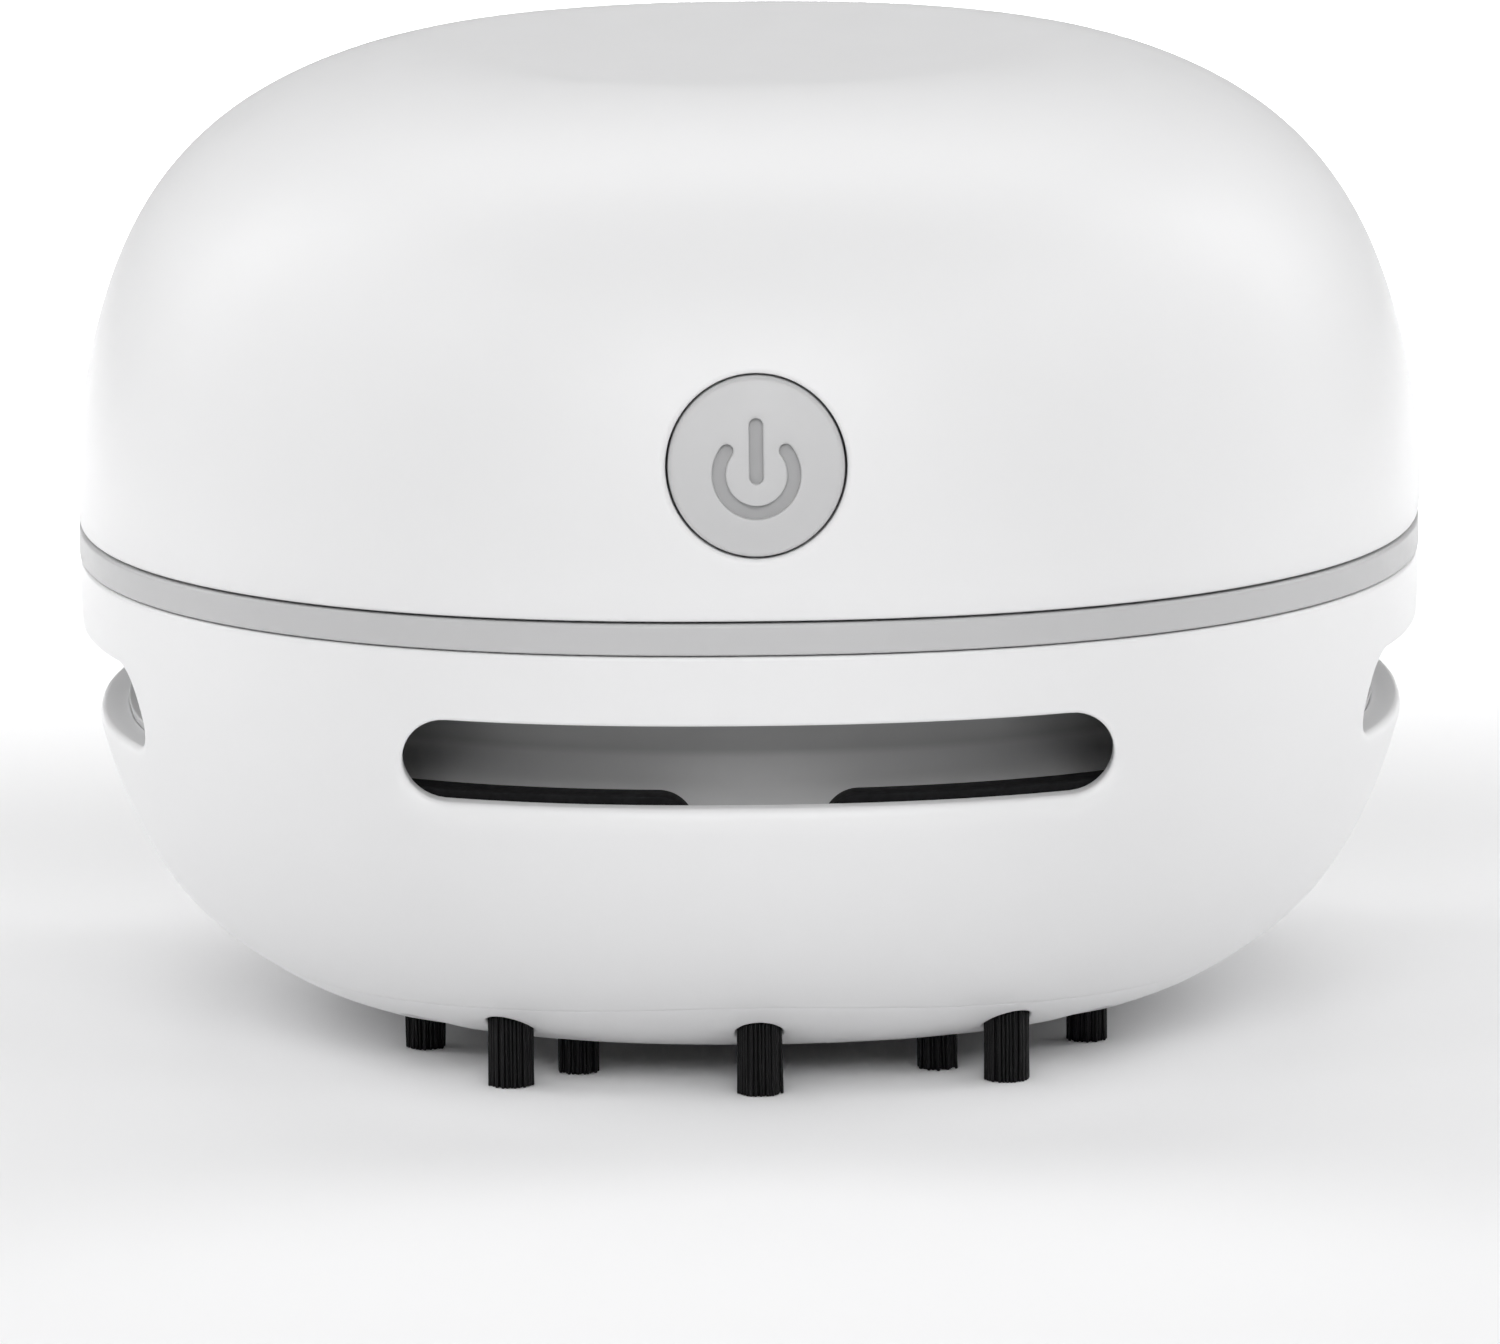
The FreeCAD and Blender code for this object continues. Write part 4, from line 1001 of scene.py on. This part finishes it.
# ---- cells: shrink sleeve, cap with raised contact, flat end with its crimp
def make_cell(node, x, sign):
    y0 = -25.1 if sign > 0 else -25.1 + 1.2
    y1 = y0 + 49.0
    z = 43.0

    def to_y(p):
        return np.column_stack([x + p[:, 0], p[:, 2] if sign > 0 else (y0 + y1) - p[:, 2], z + p[:, 1]])

    def place(b, outline, mat=0, closed=True):
        start = len(b.f)
        lathe(b, outline, seg=96, frame_fn=to_y, mat=mat, closed=closed)
        if sign < 0:
            return
        for k in range(start, len(b.f)):
            b.f[k] = b.f[k][::-1]

    r = 7.1
    b = Builder()
    # sleeve with its shrunk lips over both ends
    out = rounded([(5.6, y0 + 0.02), (r - 0.03, y0 + 0.02), (r - 0.03, y1 - 0.12), (6.0, y1 - 0.12), (6.0, y1 - 0.3), (6.7, y1 - 0.6), (6.7, y0 + 0.5), (5.6, y0 + 0.3)],
                  [0.05, 0.55, 0.6, 0.05, 0, 0, 0, 0], steps=6)
    place(b, out)
    ob = b.object(node + "_sleeve", M["cell_sleeve"], sharp=45)
    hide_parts(node)
    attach(ob, "motor_unit")
    b = Builder()
    # printed rings near the raised end
    for a, c in ((y1 - 7.5, y1 - 5.1), (y1 - 4.2, y1 - 3.7)):
        place(b, [(r - 0.15, a + 0.15), (r - 0.025, a), (r, a + 0.04), (r, c - 0.04), (r - 0.025, c), (r - 0.15, c - 0.15)])
    ob = b.object(node + "_band", M["cell_band"], sharp=45)
    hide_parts(node)
    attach(ob, "motor_unit")
    b = Builder()
    # metal cap: bead, seal groove and nub
    out = [(0.0, y1 - 0.7), (6.2, y1 - 0.7), (6.2, y1 - 0.22), (5.6, y1 - 0.14), (5.2, y1 - 0.3), (4.3, y1 - 0.3), (3.9, y1 - 0.05), (3.1, y1 - 0.02),
           (2.75, y1 + 0.1), (2.68, y1 + 0.4), (2.62, y1 + 0.95), (2.45, y1 + 1.14), (2.1, y1 + 1.19), (0.0, y1 + 1.2)]
    place(b, out, closed=False)
    out = [(0.0, y0), (3.0, y0), (4.6, y0 + 0.03), (5.2, y0 + 0.12), (5.9, y0 + 0.1), (6.2, y0 + 0.3), (6.2, y0 + 0.8), (0.0, y0 + 0.8)]
    place(b, out, closed=False)
    ob = b.object(node + "_ends", M["cell_can"], sharp=45)
    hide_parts(node)
    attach(ob, "motor_unit")


# ---- filter: pleated nonwoven
def make_filter():
    b = Builder()
    r, z0, z1, pitch, sub = 28.25, 18.95, 20.85, 1.75, 6
    n_p = int(2 * r / pitch)
    ys, zs = [], []
    for k in range(n_p):
        for j in range(sub):
            t = j / sub
            ys.append(-r + 2 * r * (k + t) / n_p)
            zs.append(math.cos(2 * math.pi * t))
    ys.append(r)
    zs.append(1.0)
    ys, zs = np.array(ys), np.array(zs)
    zs = np.sign(zs) * np.abs(zs) ** 0.7
    amp = (z1 - z0 - 0.28) / 2
    mid = (z0 + z1) / 2
    half = np.sqrt(np.maximum(r * r - ys * ys, 0.3))
    top, bot = [], []
    cols = 15
    for y, z, h in zip(ys, zs, half):
        xs = np.linspace(-h, h, cols)
        wob = 0.05 * np.sin(xs * 0.9 + y * 1.7)
        top.append(b.add(np.column_stack([xs, np.full(cols, y) + wob, np.full(cols, mid + amp * z + 0.14)])))
        bot.append(b.add(np.column_stack([xs, np.full(cols, y) + wob, np.full(cols, mid + amp * z - 0.14)])))
    for k in range(len(ys) - 1):
        for c in range(cols - 1):
            b.face(top[k][c], top[k][c + 1], top[k + 1][c + 1], top[k + 1][c])
            b.face(bot[k][c], bot[k + 1][c], bot[k + 1][c + 1], bot[k][c + 1])
        b.face(top[k][0], top[k + 1][0], bot[k + 1][0], bot[k][0])
        b.face(top[k][-1], bot[k][-1], bot[k + 1][-1], top[k + 1][-1])
    for k, f in ((0, 1), (len(ys) - 1, -1)):
        for c in range(cols - 1):
            q = (top[k][c], bot[k][c], bot[k][c + 1], top[k][c + 1])
            b.face(*q[::f])
    ob = b.object("filter_pleats", M["filter_cloth"], sharp=60)
    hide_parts("filter_pad")
    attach(ob, "dust_unit")


# ---- small things on the switch board
def box_piece(b, x0, x1, y0, y1, z0, z1, ch=0.05):
    """Box with chamfered edges."""
    pts = []
    for sx in (0, 1):
        for sy in (0, 1):
            for sz in (0, 1):
                x, y, z = (x0, x1)[sx], (y0, y1)[sy], (z0, z1)[sz]
                dx, dy, dz = ch * (1 - 2 * sx), ch * (1 - 2 * sy), ch * (1 - 2 * sz)
                pts += [(x + dx, y + dy, z), (x + dx, y, z + dz), (x, y + dy, z + dz)]
    bm = bmesh.new()
    for p in pts:
        bm.verts.new(p)
    bmesh.ops.convex_hull(bm, input=bm.verts)
    bmesh.ops.recalc_face_normals(bm, faces=bm.faces)
    bm.verts.ensure_lookup_table()
    bm.verts.index_update()
    idx = b.add([v.co[:] for v in bm.verts])
    for f in bm.faces:
        b.face(*[idx[v.index] for v in f.verts])
    bm.free()


def blob(b, x, y, z, r, h, to_front=True):
    """Solder cone on a face of the board."""
    s = -1 if to_front else 1
    def fn(p):
        return np.column_stack([x + p[:, 0], y + s * p[:, 2], z + p[:, 1]])
    start = len(b.f)
    lathe(b, [(0.0, -0.05), (r, -0.05), (r, 0.02), (r * 0.8, 0.12 * h), (r * 0.5, 0.4 * h), (r * 0.36, 0.8 * h), (r * 0.22, 0.97 * h), (0.0, h)], seg=20, closed=False, frame_fn=fn)
    if s > 0:
        for k in range(start, len(b.f)):
            b.f[k] = b.f[k][::-1]


def make_board_parts():
    b = Builder()
    for x, z in ((-3.2, 46.05), (3.2, 46.05), (-3.2, 39.55), (3.2, 39.55)):
        blob(b, x, -24.0, z, 0.75, 0.75, to_front=False)
    for x in (-4.5, 3.0):
        lathe(b, [(0.0, 47.85), (0.86, 47.85), (0.9, 48.02), (0.84, 48.22), (0.72, 48.5), (0.64, 48.9), (0.5, 48.95), (0.0, 48.95)], seg=28, centre=(x, -24.6), closed=False)
    ob = b.object("board_solder", M["solder"], sharp=60)
    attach(ob, "motor_unit")
    b = Builder()
    for x0, x1, z0, z1 in ((-6.4, -3.0, 35.6, 36.3), (-6.9, -6.3, 35.6, 46.9), (-6.9, -4.6, 46.6, 47.2), (6.1, 6.7, 36.2, 46.9), (3.1, 6.7, 46.6, 47.2), (3.2, 6.7, 35.7, 36.3), (-2.6, 2.6, 35.0, 35.5)):
        box_piece(b, x0, x1, -25.235, -25.19, z0, z1, 0.01)
        box_piece(b, x0, x1, -24.01, -23.965, z0, z1, 0.01)
    ob = b.object("board_traces", M["trace_green"])
    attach(ob, "motor_unit")
    b = Builder()
    box_piece(b, 5.1, 6.7, -25.65, -25.2, 37.4, 38.3, 0.06)
    box_piece(b, -6.5, -5.3, -25.6, -25.2, 40.0, 42.0, 0.06)
    ob = b.object("board_chips", M["chip_black"])
    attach(ob, "motor_unit")
    b = Builder()
    for x in (4.75, 7.05):
        box_piece(b, x - 0.36, x + 0.36, -25.62, -25.19, 37.35, 38.35, 0.08)
    for z in (39.65, 42.35):
        box_piece(b, -6.55, -5.25, -25.58, -25.19, z - 0.36, z + 0.36, 0.08)
    ob = b.object("board_terminations", M["solder"])
    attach(ob, "motor_unit")


# ------------------------------------------------------------------ finish of the carried-over nodes
EDGE = {"chassis": 0.16, "fan_housing": 0.16, "dust_cup": 0.18, "cup_floor": 0.08, "cup_posts": 0.15, "inlet_tube": 0.15, "filter_frame": 0.15, "fan_guard": 0.12,
        "impeller": 0.10, "motor_can": 0.45, "motor_end_cap": 0.22, "motor_holder": 0.15, "battery_tray": 0.2, "switch_board": 0.05, "switch_body": 0.12,
        "switch_plunger": 0.1, "vent_strips": 0.12, "side_fillers": 0.12, "cup_seal": 0.2, "inlet_gasket": 0.2, "motor_bush": 0.1, "motor_shaft": 0.15, "commutator": 0.08,
        "motor_terminals": 0.05, "link_contact": 0.03, "positive_contact": 0.05, "negative_contact": 0.03, "motor_magnets": 0.15, "armature_core": 0.08,
        "armature_coils": 0.3, "base_screws": 0.05, "housing_screws": 0.05, "holder_screws": 0.05, "tray_screws": 0.05, "wire_supply": 0.05, "wire_switched": 0.05, "wire_return": 0.05}


def finish_nodes():
    slots = {s["node"]: s["material_slot"] for s in frame["record"]["subparts"]}
    for node, ob in NODES.items():
        # the dust cup gets the material with the painted shadow band near its rim
        slot = "cup_grey_painted_shadow" if node == "dust_cup" else slots.get(node)
        if slot in M:
            ob.data.materials.clear()
            ob.data.materials.append(M[slot])
        if node not in EDGE:
            continue
        me = ob.data
        me.polygons.foreach_set("use_smooth", [True] * len(me.polygons))
        weld = ob.modifiers.new("weld", "WELD")
        weld.merge_threshold = 0.000002
        bev = ob.modifiers.new("bevel", "BEVEL")
        bev.width = EDGE[node] / 1000.0
        bev.segments = 3
        bev.limit_method = "ANGLE"
        bev.angle_limit = math.radians(34)
        bev.use_clamp_overlap = False
        bev.harden_normals = True
        bev.miter_outer = "MITER_ARC"


make_lower_shell()
make_top_shell()
make_trim_ring()
make_button()
make_base_plate()
make_bristles()
make_cell("cell_left", -18.9, -1)
make_cell("cell_right", 18.9, 1)
make_filter()
make_board_parts()
finish_nodes()

# ------------------------------------------------------------------ stage, light, camera
def studio_table():
    """Round pale table top with a soft edge."""
    b = Builder(drop=0.0)
    prof = [(0.0, -40.0), (610.0, -40.0), (616.0, -38.0), (620.0, -33.0), (620.0, -8.0), (618.0, -3.0), (612.0, 0.0)]
    prof += [(float(r), 0.0) for r in (560, 460, 340, 240, 160, 100, 60, 30)] + [(0.0, 0.0)]
    lathe(b, prof, seg=96, closed=False)
    return b


floor_mat = material("studio_floor", (0.90, 0.90, 0.905), rough=0.75, var=0.01, var_scale=4, rough_var=0.03, rough_scale=30, spec=0.2)
floor = studio_table().object("studio_floor", floor_mat, sharp=40)

scene = bpy.context.scene
scene.view_settings.view_transform = "Standard"
world = bpy.data.worlds.new("studio")
scene.world = world
world.use_nodes = True
bg = world.node_tree.nodes["Background"]
bg.inputs["Color"].default_value = (1.0, 1.0, 1.0, 1)
bg.inputs["Strength"].default_value = 0.07


def lamp(name, az, el, dist, size_x, size_y, power):
    """Softbox at an angle round the object: azimuth from the front, elevation, both in degrees."""
    a, e = math.radians(az), math.radians(el)
    aim_at = Vector((0, 0, 0.03))
    loc = Vector((math.sin(a) * math.cos(e), -math.cos(a) * math.cos(e), math.sin(e))) * dist + aim_at
    li = bpy.data.lights.new(name, "AREA")
    li.shape = "RECTANGLE"
    li.size, li.size_y = size_x, size_y
    li.energy = power
    ob = bpy.data.objects.new(name, li)
    ob.location = loc
    ob.rotation_mode = "QUATERNION"
    ob.rotation_quaternion = (aim_at - loc).to_track_quat("-Z", "Y")
    ob.visible_camera = False
    scene.collection.objects.link(ob)
    return ob


for name, az, el, dist, sx, sy, power in (
        ("key_low", 0, 28, 0.8, 0.5, 0.22, 2.10),
        ("key_high", 0, 45, 0.8, 0.5, 0.25, 0.60),
        ("rim_back", 180, 60, 0.8, 0.6, 0.3, 0.90),
        ("rim_top", 180, 75, 0.8, 0.6, 0.2, 0.92),
        ("quarter", 45, 40, 0.8, 0.3, 0.4, 0.75),
        ("quarter_wide", 65, 40, 0.8, 0.3, 0.4, 0.20),
        ("strip", 111, 10, 0.8, 0.26, 0.4, 2.40),
        ("strip_high", 119, 28, 0.8, 0.22, 0.36, 0.56),
        ("high_side", 112, 45, 0.8, 0.3, 0.4, 0.40),
        ("rear_side", 150, 25, 0.8, 0.3, 0.4, 0.06)):
    if az in (0, 180):
        boxes = [lamp(name, az, el, dist, sx, sy, power)]
    else:
        boxes = [lamp(name + "_right", az, el, dist, sx, sy, power), lamp(name + "_left", -az, el, dist, sx, sy, power)]
    for box in boxes:
        # the low boxes at the sides and rear fill softly and leave no mirror streak on the flat top
        box.visible_glossy = name not in ("rear_side", "strip")
# a softbox that hangs over the table behind the object and lights only the table
table_light = lamp("table_light", 0, 90, 0.5, 0.5, 0.42, 1.9)
table_light.location = (0.0, 0.40, 0.34)
table_light.rotation_quaternion = (1.0, 0.0, 0.0, 0.0)
table_light.data.spread = math.radians(52)
table_light.visible_glossy = False

cam_data = bpy.data.cameras.new("camera")
cam = bpy.data.objects.new("camera", cam_data)
scene.collection.objects.link(cam)
scene.camera = cam
E, A, D, ROLL = math.radians(10.216), math.radians(-0.7), 0.9927, math.radians(-0.542)
F_PX = 15611.7
cam_data.sensor_fit = "HORIZONTAL"
cam_data.sensor_width = 36.0
cam_data.lens = F_PX / 1500.0 * 36.0
cam_data.clip_start, cam_data.clip_end = 0.05, 20.0
aim = Vector((0, 0, 0.02109))
back = Vector((math.sin(A) * math.cos(E), -math.cos(A) * math.cos(E), math.sin(E)))
cam.location = aim + back * D
cam.rotation_mode = "QUATERNION"
q = (-back).to_track_quat("-Z", "Y")
from mathutils import Quaternion
cam.rotation_quaternion = q @ Quaternion((0, 0, 1), ROLL)
